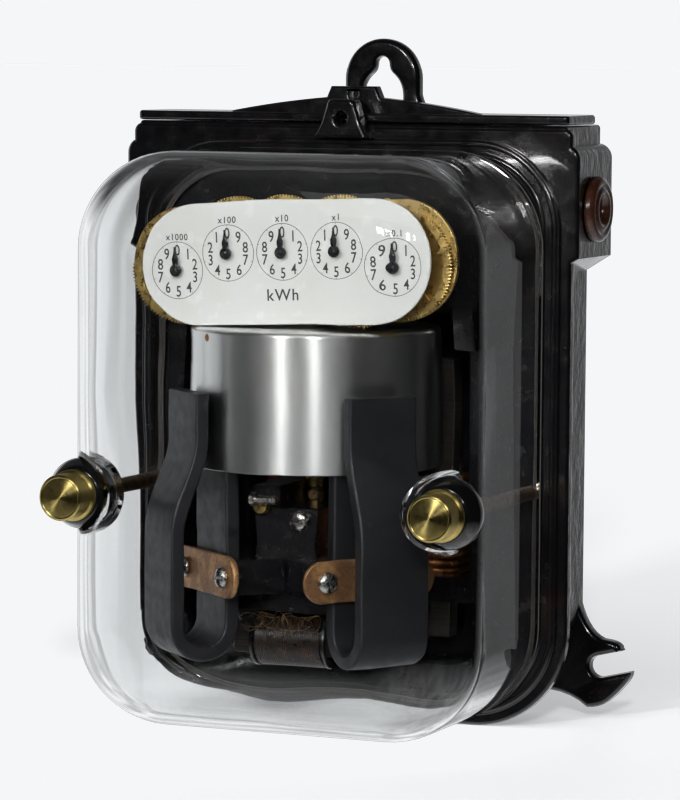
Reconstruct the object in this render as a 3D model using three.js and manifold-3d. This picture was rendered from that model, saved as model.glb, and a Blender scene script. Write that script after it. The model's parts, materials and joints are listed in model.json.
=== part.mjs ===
// Early induction watt-hour meter: black iron base, clear glass cover, five-dial register,
// aluminium drum rotor and two bent-bar drag magnets. Millimetres, +X right, +Y to the wall, +Z up.
// The origin is on the back of the base, where it meets the wall.
import * as THREE from "three";
import { mergeVertices } from "three/addons/utils/BufferGeometryUtils.js";
import Module from "manifold-3d";

const wasm = await Module();
wasm.setup();

const GAP = 0.3;                 // between pieces that touch on the real meter
const DEG = Math.PI / 180;

// ---- driving dimensions -----------------------------------------------------------------

const BASE = { halfWidth: 77, bottom: -106.5, top: 103, depth: 34, wall: 5, cornerTop: 6, cornerBottom: 36 };
const FLANGE = { halfWidth: 83.5, bottom: -107, top: 102, corner: 35, cornerTop: 3, back: -31, front: -36 };
const BEAD = { halfWidth: 80, corner: 33, front: -38 };
const WINDOW = { halfWidth: 62, bottom: -88, top: 49, corner: 24 };
const CHAMBER = { halfWidth: 71, bottom: 56, back: -5, front: -30 };
const LID = { halfWidth: 82, back: -7.3, front: -35.4, top: 106.5, thick: 3.2, corner: 1.5 };
const RIDGE = { back: -26.5, front: -31.5, end: 47, foot: 10.2, peak: 111.9, lug: 8.5, top: 115.8, hole: 1.9, holeZ: 113.2 };
const LOOP = {
  outer: 14.3, centre: 118.4, depth: 6, apex: 2.6, apexZ: 123.7, waist: 4.8, waistZ: 119.8, foot: 8, footZ: 112, bottom: 109.3,
};
const SIDE_BOSS = { outer: 86.2, bottom: 57.5, top: 96.5, chamfer: 5.7, corner: 5, back: -1, front: -36 };
const SHOULDER = { halfWidth: 81.5, bottom: 90, top: 103 };
const SEAL_EAR = { foot: 10.7, waist: 6.6, waistZ: 106, top: 111.5, half: 5.6, corner: 2.6, hole: 2.2, holeZ: 104.8 };
const BUSHING = { y: -20, z: 74.1, face: 90.2, flange: 11.5, body: 8, bore: 3.75 };

const GLASS = { halfWidth: 74.5, bottom: -104.5, top: 94, corner: 34, edge: 28, front: -120, wall: 3.6, face: 5 };
const GASKET = { back: -38.3, front: -39.5 };
const STUD = { x: 67.6, z: -23.8, radius: 2.6 };
const POCKET = { radius: 12.8, floor: -105.5 };
const FERRULE = { radius: 12.2, back: -105.8, front: -114.2 };
const NUT = { flange: 8.85, cap: 7.9, back: -114.6, front: -125.6 };

const AXIS_Y = -62;              // the drum's vertical axis stands at x = 0 and this y
const CUP = { radius: 43, wall: 1.2, bottom: -14.4, top: 33.6 };
const MAGNET = { width: 25, thick: 5, gapRadius: 44.6, bulge: 53.5, inner: 38.5, top: 12.3, foot: -67 };
const MAGNET_TURN = { left: -42, right: 51 };    // each magnet is set round the drum to trim the speed
const STRAP = { z: -50.3, height: 14.5, thick: 2, reach: 24.5, screw: 16.2 };

const REGISTER = { tilt: 2.4, pivotZ: 46, centreX: -0.9, centreZ: 56.2 };
const DIAL = { halfLength: 53, halfHeight: 21, back: -85.6, front: -86.8 };
const BRASS = { halfLength: 60, halfHeight: 20.5, back: -76.5, front: -78.5 };
const PITCH_WHEEL = 18.45;
const PITCH_PINION = 1.845;
const MESH = 0.22;               // the plain discs stand this far inside their pitch circles
const PLANES = { a: -79.8, b: -81.6, c: -83.4 };  // middle of each layer of wheels
const DIALS = [
  { name: "thousands", x: -40.7, z: 54.3, plane: PLANES.b, drives: null },
  { name: "hundreds", x: -21.2, z: 60, plane: PLANES.a, drives: PLANES.b },
  { name: "tens", x: -0.9, z: 60, plane: PLANES.c, drives: PLANES.a },
  { name: "ones", x: 19.4, z: 60, plane: PLANES.b, drives: PLANES.c },
  { name: "tenths", x: 38.9, z: 54.3, plane: PLANES.a, drives: PLANES.b },
];
const INPUT = { x: 8.2, z: 46, wheel: 6.1 };
const MIDDLE = { x: 21.05, z: 44.6, wheel: 11.07 };

// ---- materials --------------------------------------------------------------------------

function paint(color, roughness, metalness) {
  return () => new THREE.MeshStandardMaterial({ color, roughness, metalness });
}
const black = paint(0x111214, 0.3, 0.2);
const darkSteel = paint(0x2b2c2f, 0.6, 0.4);
const brass = paint(0xb08d3c, 0.3, 0.9);
const copper = paint(0x8a5a33, 0.5, 0.7);
const aluminium = paint(0xc9cacb, 0.3, 0.9);
const steel = paint(0x9a9a98, 0.35, 0.9);
const enamel = paint(0xf2f1ea, 0.3, 0);
const fibre = paint(0x5a3a2a, 0.5, 0);
const felt = paint(0x2a2622, 0.9, 0);
const clear = () => new THREE.MeshStandardMaterial({
  color: 0xeef4f4, roughness: 0.05, metalness: 0, transparent: true, opacity: 0.3,
});

// ---- solids -----------------------------------------------------------------------------

function solid(geometry) {
  const bare = geometry.clone();
  bare.deleteAttribute("normal");
  bare.deleteAttribute("uv");
  const merged = mergeVertices(bare, 1e-4);
  return new wasm.Manifold(new wasm.Mesh({
    numProp: 3,
    vertProperties: new Float32Array(merged.attributes.position.array),
    triVerts: new Uint32Array(merged.index.array),
  }));
}

function geometryOf(shape) {
  const mesh = shape.getMesh();
  const geometry = new THREE.BufferGeometry();
  geometry.setAttribute("position", new THREE.BufferAttribute(mesh.vertProperties, 3));
  geometry.setIndex(new THREE.BufferAttribute(mesh.triVerts, 1));
  geometry.computeVertexNormals();
  return geometry;
}

function join(...shapes) {
  return shapes.reduce((sum, shape) => sum.add(shape));
}

function cut(shape, ...tools) {
  return tools.reduce((rest, tool) => rest.subtract(tool), shape);
}

// A box between two corners.
function block([x0, y0, z0], [x1, y1, z1]) {
  const box = new THREE.BoxGeometry(Math.abs(x1 - x0), Math.abs(y1 - y0), Math.abs(z1 - z0));
  box.translate((x0 + x1) / 2, (y0 + y1) / 2, (z0 + z1) / 2);
  return solid(box);
}

// Round bars along each axis.
function rodX(radius, x0, x1, y, z, sides = 18) {
  const rod = new THREE.CylinderGeometry(radius, radius, Math.abs(x1 - x0), sides);
  rod.rotateZ(Math.PI / 2);
  rod.translate((x0 + x1) / 2, y, z);
  return solid(rod);
}

function rodY(radius, y0, y1, x, z, sides = 18) {
  const rod = new THREE.CylinderGeometry(radius, radius, Math.abs(y1 - y0), sides);
  rod.translate(x, (y0 + y1) / 2, z);
  return solid(rod);
}

function rodZ(radius, z0, z1, x, y, sides = 18) {
  const rod = new THREE.CylinderGeometry(radius, radius, Math.abs(z1 - z0), sides);
  rod.rotateX(Math.PI / 2);
  rod.translate(x, y, (z0 + z1) / 2);
  return solid(rod);
}

// An outline in x and z, pushed from y = back forward by depth.
function slab(outline, back, depth, curveSegments = 6) {
  const geometry = new THREE.ExtrudeGeometry(outline, { depth, bevelEnabled: false, curveSegments });
  geometry.rotateX(Math.PI / 2);
  geometry.translate(0, back, 0);
  return solid(geometry);
}

// A profile of [radius, along] pairs turned about the y axis, whichever way round it is listed.
function turned(profile, sides = 24) {
  const points = profile.map(([r, along]) => new THREE.Vector2(r, along));
  if (THREE.ShapeUtils.area(points) < 0) points.reverse();
  return new THREE.LatheGeometry(points, sides);
}

function roundedOutline(halfWidth, bottom, top, cornerBottom, cornerTop = cornerBottom) {
  const outline = new THREE.Shape();
  outline.moveTo(-halfWidth + cornerBottom, bottom);
  outline.lineTo(halfWidth - cornerBottom, bottom);
  outline.absarc(halfWidth - cornerBottom, bottom + cornerBottom, cornerBottom, -Math.PI / 2, 0, false);
  outline.lineTo(halfWidth, top - cornerTop);
  outline.absarc(halfWidth - cornerTop, top - cornerTop, cornerTop, 0, Math.PI / 2, false);
  outline.lineTo(-halfWidth + cornerTop, top);
  outline.absarc(-halfWidth + cornerTop, top - cornerTop, cornerTop, Math.PI / 2, Math.PI, false);
  outline.lineTo(-halfWidth, bottom + cornerBottom);
  outline.absarc(-halfWidth + cornerBottom, bottom + cornerBottom, cornerBottom, Math.PI, Math.PI * 1.5, false);
  return outline;
}

// A closed skin through rings of equal count, with a fan at each end.
function loft(rings) {
  const count = rings[0].length;
  const points = rings.flat();
  const indices = [];
  for (let ring = 0; ring + 1 < rings.length; ring += 1) {
    for (let i = 0; i < count; i += 1) {
      const a = ring * count + i;
      const b = ring * count + ((i + 1) % count);
      indices.push(a, b, b + count, a, b + count, a + count);
    }
  }
  const last = (rings.length - 1) * count;
  for (let i = 1; i + 1 < count; i += 1) {
    indices.push(0, i + 1, i);
    indices.push(last, last + i, last + i + 1);
  }
  const geometry = new THREE.BufferGeometry();
  const position = new Float32Array(points.flatMap((p) => [p.x, p.y, p.z]));
  geometry.setAttribute("position", new THREE.BufferAttribute(position, 3));
  geometry.setIndex(indices);
  return geometry;
}

const meter = new THREE.Group();

function place(name, geometry, material, parent = meter) {
  const mesh = new THREE.Mesh(geometry, material());
  mesh.name = name;
  parent.add(mesh);
  return mesh;
}

function placeSolid(name, shape, material, parent = meter) {
  return place(name, geometryOf(shape), material, parent);
}

// ---- base casting -----------------------------------------------------------------------

// One slotted hanging foot, drawn for the right side and mirrored by side = -1.
function footOutline(side) {
  const foot = new THREE.Shape();
  foot.moveTo(side * 58, -78);
  foot.lineTo(side * 76, -62);
  foot.quadraticCurveTo(side * 79, -76, side * 86, -78.5);
  foot.quadraticCurveTo(side * 93, -79, side * 92.8, -83.5);
  foot.lineTo(side * 96.8, -88);
  foot.quadraticCurveTo(side * 97.4, -93, side * 90, -99);
  foot.quadraticCurveTo(side * 86, -103, side * 80.6, -103);
  foot.quadraticCurveTo(side * 72, -96, side * 58, -98);
  foot.closePath();
  return foot;
}

function footSolid(side) {
  const slotEnd = new THREE.Vector2(side * 85.2, -88.2);
  const channel = new THREE.BoxGeometry(24, 20, 8);
  channel.translate(12, 0, 0);
  channel.rotateY(-14 * DEG);
  if (side < 0) channel.rotateZ(Math.PI);
  channel.translate(slotEnd.x, -4, slotEnd.y);
  return cut(slab(footOutline(side), 0, 6), rodY(4, 6, -14, slotEnd.x, slotEnd.y), solid(channel));
}

function loopSolid() {
  const outline = new THREE.Shape();
  outline.moveTo(-21, 104);
  outline.lineTo(21, 104);
  outline.quadraticCurveTo(15.5, 107.5, LOOP.outer, 113);
  outline.lineTo(LOOP.outer, LOOP.centre);
  outline.absarc(0, LOOP.centre, LOOP.outer, 0, Math.PI, false);
  outline.lineTo(-LOOP.outer, 113);
  outline.quadraticCurveTo(-15.5, 107.5, -21, 104);
  const hole = new THREE.Path();
  hole.moveTo(LOOP.apex, LOOP.apexZ);
  hole.absarc(0, LOOP.apexZ, LOOP.apex, 0, Math.PI, false);
  hole.quadraticCurveTo(-LOOP.apex, 121.5, -LOOP.waist, LOOP.waistZ);
  hole.quadraticCurveTo(-LOOP.foot, 117, -LOOP.foot, LOOP.footZ);
  hole.lineTo(-LOOP.foot, LOOP.bottom);
  hole.lineTo(LOOP.foot, LOOP.bottom);
  hole.lineTo(LOOP.foot, LOOP.footZ);
  hole.quadraticCurveTo(LOOP.foot, 117, LOOP.waist, LOOP.waistZ);
  hole.quadraticCurveTo(LOOP.apex, 121.5, LOOP.apex, LOOP.apexZ);
  outline.holes.push(hole);
  return slab(outline, 0, LOOP.depth, 10);
}

// Low web that carries the loop, hidden behind the lid's ridge.
function pedimentSolid() {
  const web = new THREE.Shape();
  web.moveTo(-40, 101);
  web.lineTo(40, 101);
  web.lineTo(38, 104);
  web.lineTo(20, 107.5);
  web.lineTo(-20, 107.5);
  web.lineTo(-38, 104);
  return slab(web, 0, 6.4);
}

// Upright ear on the front of the flange, with the hole for the seal wire.
function sealEarSolid() {
  const { foot, waist, waistZ, top, half, corner } = SEAL_EAR;
  const ear = new THREE.Shape();
  ear.moveTo(-foot, FLANGE.top - 4);
  ear.lineTo(foot, FLANGE.top - 4);
  ear.quadraticCurveTo(waist + 0.6, FLANGE.top + 0.5, waist, waistZ);
  ear.lineTo(half, top - corner);
  ear.absarc(half - corner, top - corner, corner, 0, 90 * DEG, false);
  ear.absarc(corner - half, top - corner, corner, 90 * DEG, 180 * DEG, false);
  ear.lineTo(-waist, waistZ);
  ear.quadraticCurveTo(-waist - 0.6, FLANGE.top + 0.5, -foot, FLANGE.top - 4);
  return slab(ear, FLANGE.front + 0.2, 7.2);
}

function sideBossSolid(side) {
  const { outer, bottom, top, chamfer, corner, back, front } = SIDE_BOSS;
  const outline = new THREE.Shape();
  outline.moveTo(side * 70, bottom - chamfer);
  outline.lineTo(side * BASE.halfWidth, bottom - chamfer);
  outline.lineTo(side * outer, bottom);
  outline.lineTo(side * outer, top - corner);
  outline.quadraticCurveTo(side * outer, top, side * (outer - corner), top);
  outline.lineTo(side * 70, top);
  outline.closePath();
  return slab(outline, back, back - front, 5);
}

function baseSolid() {
  const body = slab(roundedOutline(BASE.halfWidth, BASE.bottom, BASE.top, BASE.cornerBottom, BASE.cornerTop),
    0, BASE.depth, 7);
  const shoulder = block([-SHOULDER.halfWidth, FLANGE.front + 0.5, SHOULDER.bottom],
    [SHOULDER.halfWidth, -0.5, SHOULDER.top]);
  const flange = slab(roundedOutline(FLANGE.halfWidth, FLANGE.bottom, FLANGE.top, FLANGE.corner, FLANGE.cornerTop),
    FLANGE.back, FLANGE.back - FLANGE.front, 7);
  const bead = slab(roundedOutline(BEAD.halfWidth, FLANGE.bottom + 3.5, FLANGE.top - 3.5, BEAD.corner),
    FLANGE.front + 0.5, FLANGE.front + 0.5 - BEAD.front, 7);
  const recess = slab(roundedOutline(WINDOW.halfWidth, WINDOW.bottom, WINDOW.top, WINDOW.corner),
    -BASE.wall, 60);
  const chamber = block([-CHAMBER.halfWidth, CHAMBER.front, CHAMBER.bottom],
    [CHAMBER.halfWidth, CHAMBER.back, LID.top]);
  const ears = [-1, 1].flatMap((side) => [footSolid(side), sideBossSolid(side)]);
  const wireWays = [-1, 1].map((side) => rodX(BUSHING.body + GAP, side * 60, side * 100, BUSHING.y, BUSHING.z));
  const studHoles = [-1, 1].map((side) => rodY(STUD.radius + GAP, -30, -50, side * STUD.x, STUD.z));
  const pads = [[-50, -64], [50, -64], [-50, 30], [50, 30]].map(([x, z]) => rodY(5, -3, -19, x, z, 10));
  const sealHole = rodY(SEAL_EAR.hole, -30, -50, 0, SEAL_EAR.holeZ, 12);
  const shell = cut(join(body, shoulder, flange, bead, ...ears, sealEarSolid()), recess, chamber, sealHole, ...wireWays,
    ...studHoles);
  return join(shell, ...pads, pedimentSolid(), loopSolid());
}

placeSolid("base_casting", baseSolid(), black);

// ---- lid of the terminal chamber --------------------------------------------------------

function lidSolid() {
  const depth = LID.back - LID.front;
  const middle = (LID.back + LID.front) / 2;
  const outline = roundedOutline(LID.halfWidth, -depth / 2, depth / 2, LID.corner);
  const sheet = new THREE.ExtrudeGeometry(outline, { depth: LID.thick, bevelEnabled: false, curveSegments: 8 });
  sheet.translate(0, middle, LID.top - LID.thick);
  const { back, front, end, foot, peak, lug, top, hole, holeZ } = RIDGE;
  const ridge = new THREE.Shape();
  ridge.moveTo(-end, LID.top - 1);
  ridge.lineTo(end, LID.top - 1);
  ridge.lineTo(end, LID.top + 0.3);
  ridge.quadraticCurveTo((end + foot) / 2, peak - 1.6, foot, peak);
  ridge.lineTo(lug, top);
  ridge.lineTo(-lug, top);
  ridge.lineTo(-foot, peak);
  ridge.quadraticCurveTo(-(end + foot) / 2, peak - 1.6, -end, LID.top + 0.3);
  return cut(join(solid(sheet), slab(ridge, back, back - front)), rodY(hole, back + 5, front - 5, 0, holeZ, 12));
}

placeSolid("terminal_lid", lidSolid(), black);

// ---- terminal block, posts and screws ---------------------------------------------------

const TERMINALS = [-45, -15, 15, 45];
const BLOCK = { halfWidth: 60, back: -8, front: -27, bottom: CHAMBER.bottom + GAP, top: 68 };

placeSolid("terminal_block", block([-BLOCK.halfWidth, BLOCK.back, BLOCK.bottom],
  [BLOCK.halfWidth, BLOCK.front, BLOCK.top]), fibre);

TERMINALS.forEach((x, index) => {
  const post = rodZ(4.6, BLOCK.top + GAP, 84, x, -17.5);
  const wireHole = rodX(1.8, x - 10, x + 10, -17.5, BUSHING.z, 12);
  placeSolid(`terminal_post_${index + 1}`, cut(post, wireHole), brass);
  const head = rodZ(3.6, 84 + GAP, 87, x, -17.5, 20);
  const slot = block([x - 5, -17.9, 86.2], [x + 5, -17.1, 88]);
  placeSolid(`terminal_screw_${index + 1}`, cut(head, slot), brass);
});

// ---- wire bushings ----------------------------------------------------------------------

for (const [name, side] of [["bushing_left", -1], ["bushing_right", 1]]) {
  const out = BUSHING.face;
  const seat = SIDE_BOSS.outer + GAP;
  const bushing = turned([
    [BUSHING.bore, 66], [BUSHING.body, 66], [BUSHING.body, seat], [BUSHING.flange, seat],
    [BUSHING.flange, out - 1.8], [BUSHING.flange - 1.8, out], [BUSHING.bore + 1.5, out],
    [BUSHING.bore, out - 1.5], [BUSHING.bore, 66],
  ]);
  bushing.rotateZ(-side * Math.PI / 2);
  bushing.translate(0, BUSHING.y, BUSHING.z);
  place(name, bushing, fibre);
}

// ---- glass cover, gasket, studs, ferrules and nuts --------------------------------------

// One ring round a rounded rectangle that stands in a plane of constant y.
function glassRing(inset, y) {
  const points = [];
  const radius = GLASS.corner - inset;
  const steps = 7;
  const corners = [[1, 1, 0], [-1, 1, 90], [-1, -1, 180], [1, -1, 270]];
  for (const [sx, sz, start] of corners) {
    const cx = sx * (GLASS.halfWidth - GLASS.corner);
    const cz = sz > 0 ? GLASS.top - GLASS.corner : GLASS.bottom + GLASS.corner;
    for (let i = 0; i <= steps; i += 1) {
      const angle = (start + (90 * i) / steps) * DEG;
      points.push(new THREE.Vector3(cx + radius * Math.cos(angle), y, cz + radius * Math.sin(angle)));
    }
  }
  return points;
}

// The cover's bulk, inset all round by wall and short of the front by face.
function glassBulk(wall, face, back) {
  const rings = [glassRing(wall, back)];
  const edge = GLASS.edge - wall;
  const front = GLASS.front + face;
  const turns = 6;
  for (let i = 0; i <= turns; i += 1) {
    const angle = (90 * i * DEG) / turns;
    rings.push(glassRing(wall + edge * (1 - Math.cos(angle)), front + edge * (1 - Math.sin(angle))));
  }
  return solid(loft(rings));
}

function glassSolid() {
  const rim = GASKET.front - GAP;
  const outside = glassBulk(0, 0, rim);
  const hollow = glassBulk(GLASS.wall, GLASS.face, rim + 5);
  const sides = [-1, 1].map((side) => side * STUD.x);
  const pocketWalls = sides.map((x) => rodY(POCKET.radius + 3, POCKET.floor + 4, GLASS.front, x, STUD.z)
    .intersect(outside));
  const pockets = sides.map((x) => rodY(POCKET.radius, POCKET.floor, GLASS.front - 20, x, STUD.z));
  const holes = sides.map((x) => rodY(STUD.radius + 0.7, -60, GLASS.front, x, STUD.z, 12));
  return cut(join(cut(outside, hollow), ...pocketWalls), ...pockets, ...holes);
}

placeSolid("glass_cover", glassSolid(), clear);

function gasketSolid() {
  const outer = slab(roundedOutline(GLASS.halfWidth, GLASS.bottom, GLASS.top, GLASS.corner),
    GASKET.back, GASKET.back - GASKET.front);
  const inner = slab(roundedOutline(GLASS.halfWidth - 5, GLASS.bottom + 5, GLASS.top - 5, GLASS.corner - 5),
    GASKET.back + 5, 20);
  const passages = [-1, 1].map((side) => rodY(STUD.radius + GAP, -30, -50, side * STUD.x, STUD.z));
  return cut(outer, inner, ...passages);
}

placeSolid("gasket", gasketSolid(), felt);

for (const [suffix, side] of [["left", -1], ["right", 1]]) {
  const x = side * STUD.x;
  placeSolid(`stud_${suffix}`, rodY(STUD.radius, -31.5, NUT.front + 2.6, x, STUD.z, 16), copper);

  const ferrule = turned([
    [STUD.radius + 0.5, FERRULE.back], [FERRULE.radius - 1.2, FERRULE.back], [FERRULE.radius, FERRULE.back - 2],
    [FERRULE.radius, FERRULE.front + 1.2], [FERRULE.radius - 1.2, FERRULE.front],
    [STUD.radius + 0.5, FERRULE.front], [STUD.radius + 0.5, FERRULE.back],
  ]);
  place(`ferrule_${suffix}`, ferrule, black).position.set(x, 0, STUD.z);

  const nut = turned([
    [STUD.radius + GAP, NUT.back], [NUT.flange, NUT.back], [NUT.flange, NUT.back - 1.8],
    [NUT.cap, NUT.back - 3], [NUT.cap, NUT.front + 1.4], [NUT.cap - 1.4, NUT.front],
    [0, NUT.front + 0.5], [0, NUT.front + 2.2], [STUD.radius + GAP, NUT.front + 2.2],
    [STUD.radius + GAP, NUT.back],
  ], 28);
  place(`nut_${suffix}`, nut, brass).position.set(x, 0, STUD.z);
}

// ---- rotor: drum, shaft and worm --------------------------------------------------------

const rotor = new THREE.Group();
rotor.position.set(0, AXIS_Y, 0);
meter.add(rotor);

function upright(profile, sides) {
  const geometry = turned(profile, sides);
  geometry.rotateX(Math.PI / 2);
  return geometry;
}

const SHAFT = { radius: 1.5, bottom: -14, top: 52.5, worm: 2 };

place("rotor_cup", upright([
  [SHAFT.radius + GAP, CUP.top - 3], [10, CUP.top - 3], [12, CUP.top - CUP.wall],
  [CUP.radius - CUP.wall, CUP.top - CUP.wall], [CUP.radius - CUP.wall, CUP.bottom], [CUP.radius, CUP.bottom],
  [CUP.radius, CUP.top - 1.5], [CUP.radius - 1.5, CUP.top], [12, CUP.top], [SHAFT.radius + GAP, CUP.top],
  [SHAFT.radius + GAP, CUP.top - 3],
], 44), aluminium, rotor);

place("rotor_shaft", upright([
  [0, SHAFT.bottom], [0.6, SHAFT.bottom], [SHAFT.radius, SHAFT.bottom + 2],
  [SHAFT.radius, 41], [SHAFT.worm, 41.5], [SHAFT.worm, 50.5],
  [SHAFT.radius, 51], [SHAFT.radius, SHAFT.top], [0, SHAFT.top],
], 12), steel, rotor);

// ---- bearings ---------------------------------------------------------------------------

placeSolid("lower_bearing", rodZ(3, -36, SHAFT.bottom - GAP, 0, AXIS_Y, 20), brass);
placeSolid("upper_bearing", rodZ(1.8, SHAFT.top + GAP, 62, 0, AXIS_Y, 20), brass);

// ---- drag magnets -----------------------------------------------------------------------

// The bar's middle line in the plane through the drum's axis: distance from the axis, height.
function magnetPath() {
  const half = MAGNET.thick / 2;
  const near = MAGNET.gapRadius + half;
  const far = MAGNET.bulge + half;
  const inside = MAGNET.inner - half;
  const bend = (far - inside) / 2;
  const path = [[near, MAGNET.top], [near, -4]];
  const bendSteps = 8;
  for (let i = 1; i <= bendSteps; i += 1) {
    const part = i / bendSteps;
    const ease = part * part * (3 - 2 * part);
    path.push([near + (far - near) * ease, -4 - 32 * part]);
  }
  const foot = MAGNET.foot;
  const turnSteps = 10;
  for (let i = 0; i <= turnSteps; i += 1) {
    const angle = (Math.PI * i) / turnSteps;
    path.push([inside + bend + bend * Math.cos(angle), foot - bend * Math.sin(angle)]);
  }
  path.push([inside, 8]);
  return path;
}

function magnetGeometry() {
  const path = magnetPath();
  const rings = path.map(([r, z], index) => {
    const [r0, z0] = path[Math.max(index - 1, 0)];
    const [r1, z1] = path[Math.min(index + 1, path.length - 1)];
    const length = Math.hypot(r1 - r0, z1 - z0);
    const acrossR = (-(z1 - z0) / length) * (MAGNET.thick / 2);
    const acrossZ = ((r1 - r0) / length) * (MAGNET.thick / 2);
    const side = MAGNET.width / 2;
    return [
      new THREE.Vector3(-side, -(r - acrossR), z - acrossZ),
      new THREE.Vector3(side, -(r - acrossR), z - acrossZ),
      new THREE.Vector3(side, -(r + acrossR), z + acrossZ),
      new THREE.Vector3(-side, -(r + acrossR), z + acrossZ),
    ];
  });
  return loft(rings);
}

// ---- clamping straps and their screws ---------------------------------------------------

function strapSolid() {
  const outline = roundedOutline(STRAP.reach, STRAP.z - STRAP.height / 2, STRAP.z + STRAP.height / 2,
    STRAP.height / 2 - 0.1);
  const face = -(MAGNET.inner + GAP);
  const holes = [-1, 1].map((side) => rodY(1.9, face + 5, face - 5, side * STRAP.screw, STRAP.z, 12));
  return cut(slab(outline, face, STRAP.thick), ...holes);
}

function strapScrew(side) {
  const face = -(MAGNET.inner + GAP + STRAP.thick + GAP);
  const screw = turned([
    [0, face + 8], [1.5, face + 8], [1.5, face], [3.7, face], [3.4, face - 1.3], [2.2, face - 2.3],
    [0, face - 2.7],
  ], 14);
  screw.translate(side * STRAP.screw, 0, STRAP.z);
  return cut(solid(screw), block([side * STRAP.screw - 5, face - 1.6, STRAP.z - 0.45],
    [side * STRAP.screw + 5, face - 4, STRAP.z + 0.45]));
}

// Lugs behind the two ends of a strap, tapped for its screws, and the rib that carries them inward.
function strapLugs(turn) {
  const face = -(MAGNET.inner - 0.1);
  const shape = join(...[-1, 1].map((side) => {
    const near = side * (MAGNET.width / 2 + 0.8);
    const lug = block([near, face, STRAP.z - 6], [side * (STRAP.screw + 4), -20, STRAP.z + 6]);
    const hole = rodY(1.8, face - 5, face + 9, side * STRAP.screw, STRAP.z, 12);
    return cut(lug, hole);
  }), block([-STRAP.screw - 4, -31.5, STRAP.z - 6], [STRAP.screw + 4, -20, STRAP.z + 6]));
  return shape.rotate([0, 0, turn]).translate([0, AXIS_Y, 0]);
}

for (const suffix of ["left", "right"]) {
  const sector = new THREE.Group();
  sector.position.set(0, AXIS_Y, 0);
  sector.rotation.z = MAGNET_TURN[suffix] * DEG;
  meter.add(sector);
  place(`magnet_${suffix}`, magnetGeometry(), darkSteel, sector);
  placeSolid(`strap_${suffix}`, strapSolid(), copper, sector);
  placeSolid(`strap_screw_${suffix}_1`, strapScrew(-1), steel, sector);
  placeSolid(`strap_screw_${suffix}_2`, strapScrew(1), steel, sector);
}

// ---- main frame -------------------------------------------------------------------------

const FRAME = { column: 46, outer: 54, back: -19.6, front: -34, bottom: -63.5, bridge: 56, top: 66 };

// The bottle-shaped pedestal in front of the rotor's foot.
function pedestalSolid() {
  const outline = new THREE.Shape();
  outline.moveTo(-22, FRAME.bottom);
  outline.lineTo(22, FRAME.bottom);
  outline.quadraticCurveTo(13, -56, 10.5, -40);
  outline.lineTo(12.5, -20);
  outline.lineTo(-12.5, -20);
  outline.lineTo(-10.5, -40);
  outline.quadraticCurveTo(-13, -56, -22, FRAME.bottom);
  return slab(outline, -52, 34, 8);
}

function frameSolid() {
  const columns = [-1, 1].map((side) => block([side * FRAME.column, FRAME.front, FRAME.bottom],
    [side * FRAME.outer, FRAME.back, 38]));
  const knees = [-1, 1].map((side) => block([side * FRAME.column, -50, 26], [side * FRAME.outer, -30, 38]));
  const posts = [-1, 1].map((side) => block([side * FRAME.column, -50, 26], [side * FRAME.outer, -38.6, FRAME.top]));
  const bridge = block([-FRAME.outer, -42, FRAME.bridge], [FRAME.outer, -50, FRAME.top]);
  const arm = block([-6, -45, FRAME.bridge], [6, -68, FRAME.bridge + 6]);
  const lowerBridge = block([-FRAME.outer, -36, FRAME.bottom], [FRAME.outer, -23.5, FRAME.bottom + 9]);
  const shelf = block([-16, -70, FRAME.bottom], [16, -30, FRAME.bottom + 7]);
  const bearingSeat = rodZ(3 + GAP, -36 - GAP, -10, 0, AXIS_Y, 20);
  const notch = block([-2, -90, -27.5], [14, AXIS_Y + 5, -19]);
  const upperSeat = rodZ(1.8 + GAP, 50, 62 + GAP + 1, 0, AXIS_Y, 20);
  const lugs = [strapLugs(MAGNET_TURN.left), strapLugs(MAGNET_TURN.right)];
  const fronts = [rodY(1.8 + GAP, -80, -90, -8, -26.4, 12), rodY(1.6 + GAP, -80, -90, 5.5, -31.5, 12)];
  return cut(join(...columns, ...knees, ...posts, bridge, arm, lowerBridge, shelf, pedestalSolid(), ...lugs),
    bearingSeat, upperSeat, notch, ...fronts);
}

placeSolid("main_frame", frameSolid(), black);

// ---- small fittings on the pedestal -----------------------------------------------------

placeSolid("adjuster_post", join(rodY(1.8, -80.4, -90, -8, -26.4, 12), rodY(3, -86.3, -90, -8, -26.4)), brass);
placeSolid("adjuster_screw", join(rodX(1.5, -8.2, -0.2, -93, -24, 12), rodX(2.6, -10, -8, -93, -24)), steel);
placeSolid("pedestal_screw", cut(join(rodY(1.6, -80.4, -88, 5.5, -31.5, 12), rodY(3.6, -86.3, -88.6, 5.5, -31.5)),
  block([0, -87.8, -32], [11, -90, -31])), steel);

// ---- electromagnet ----------------------------------------------------------------------

const CORE = { bottom: -79, top: -69, armIn: 15.5, armOut: 22, front: -80, legIn: 25, legOut: 33, back: -10 };

function coreSolid() {
  const frontBar = block([-CORE.armOut, CORE.front, CORE.bottom], [CORE.armOut, CORE.front + 9, CORE.top]);
  const rearBar = block([-CORE.legOut, CORE.back - 8, CORE.bottom], [CORE.legOut, CORE.back, CORE.top]);
  const arms = [-1, 1].map((side) => block([side * CORE.armIn, CORE.front, CORE.bottom],
    [side * CORE.armOut, CORE.back, CORE.top]));
  const legs = [-1, 1].map((side) => block([side * CORE.legIn, CORE.back - 8, CORE.bottom],
    [side * CORE.legOut, CORE.back, 20]));
  return join(frontBar, rearBar, ...arms, ...legs);
}

placeSolid("electromagnet_core", coreSolid(), darkSteel);

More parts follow.
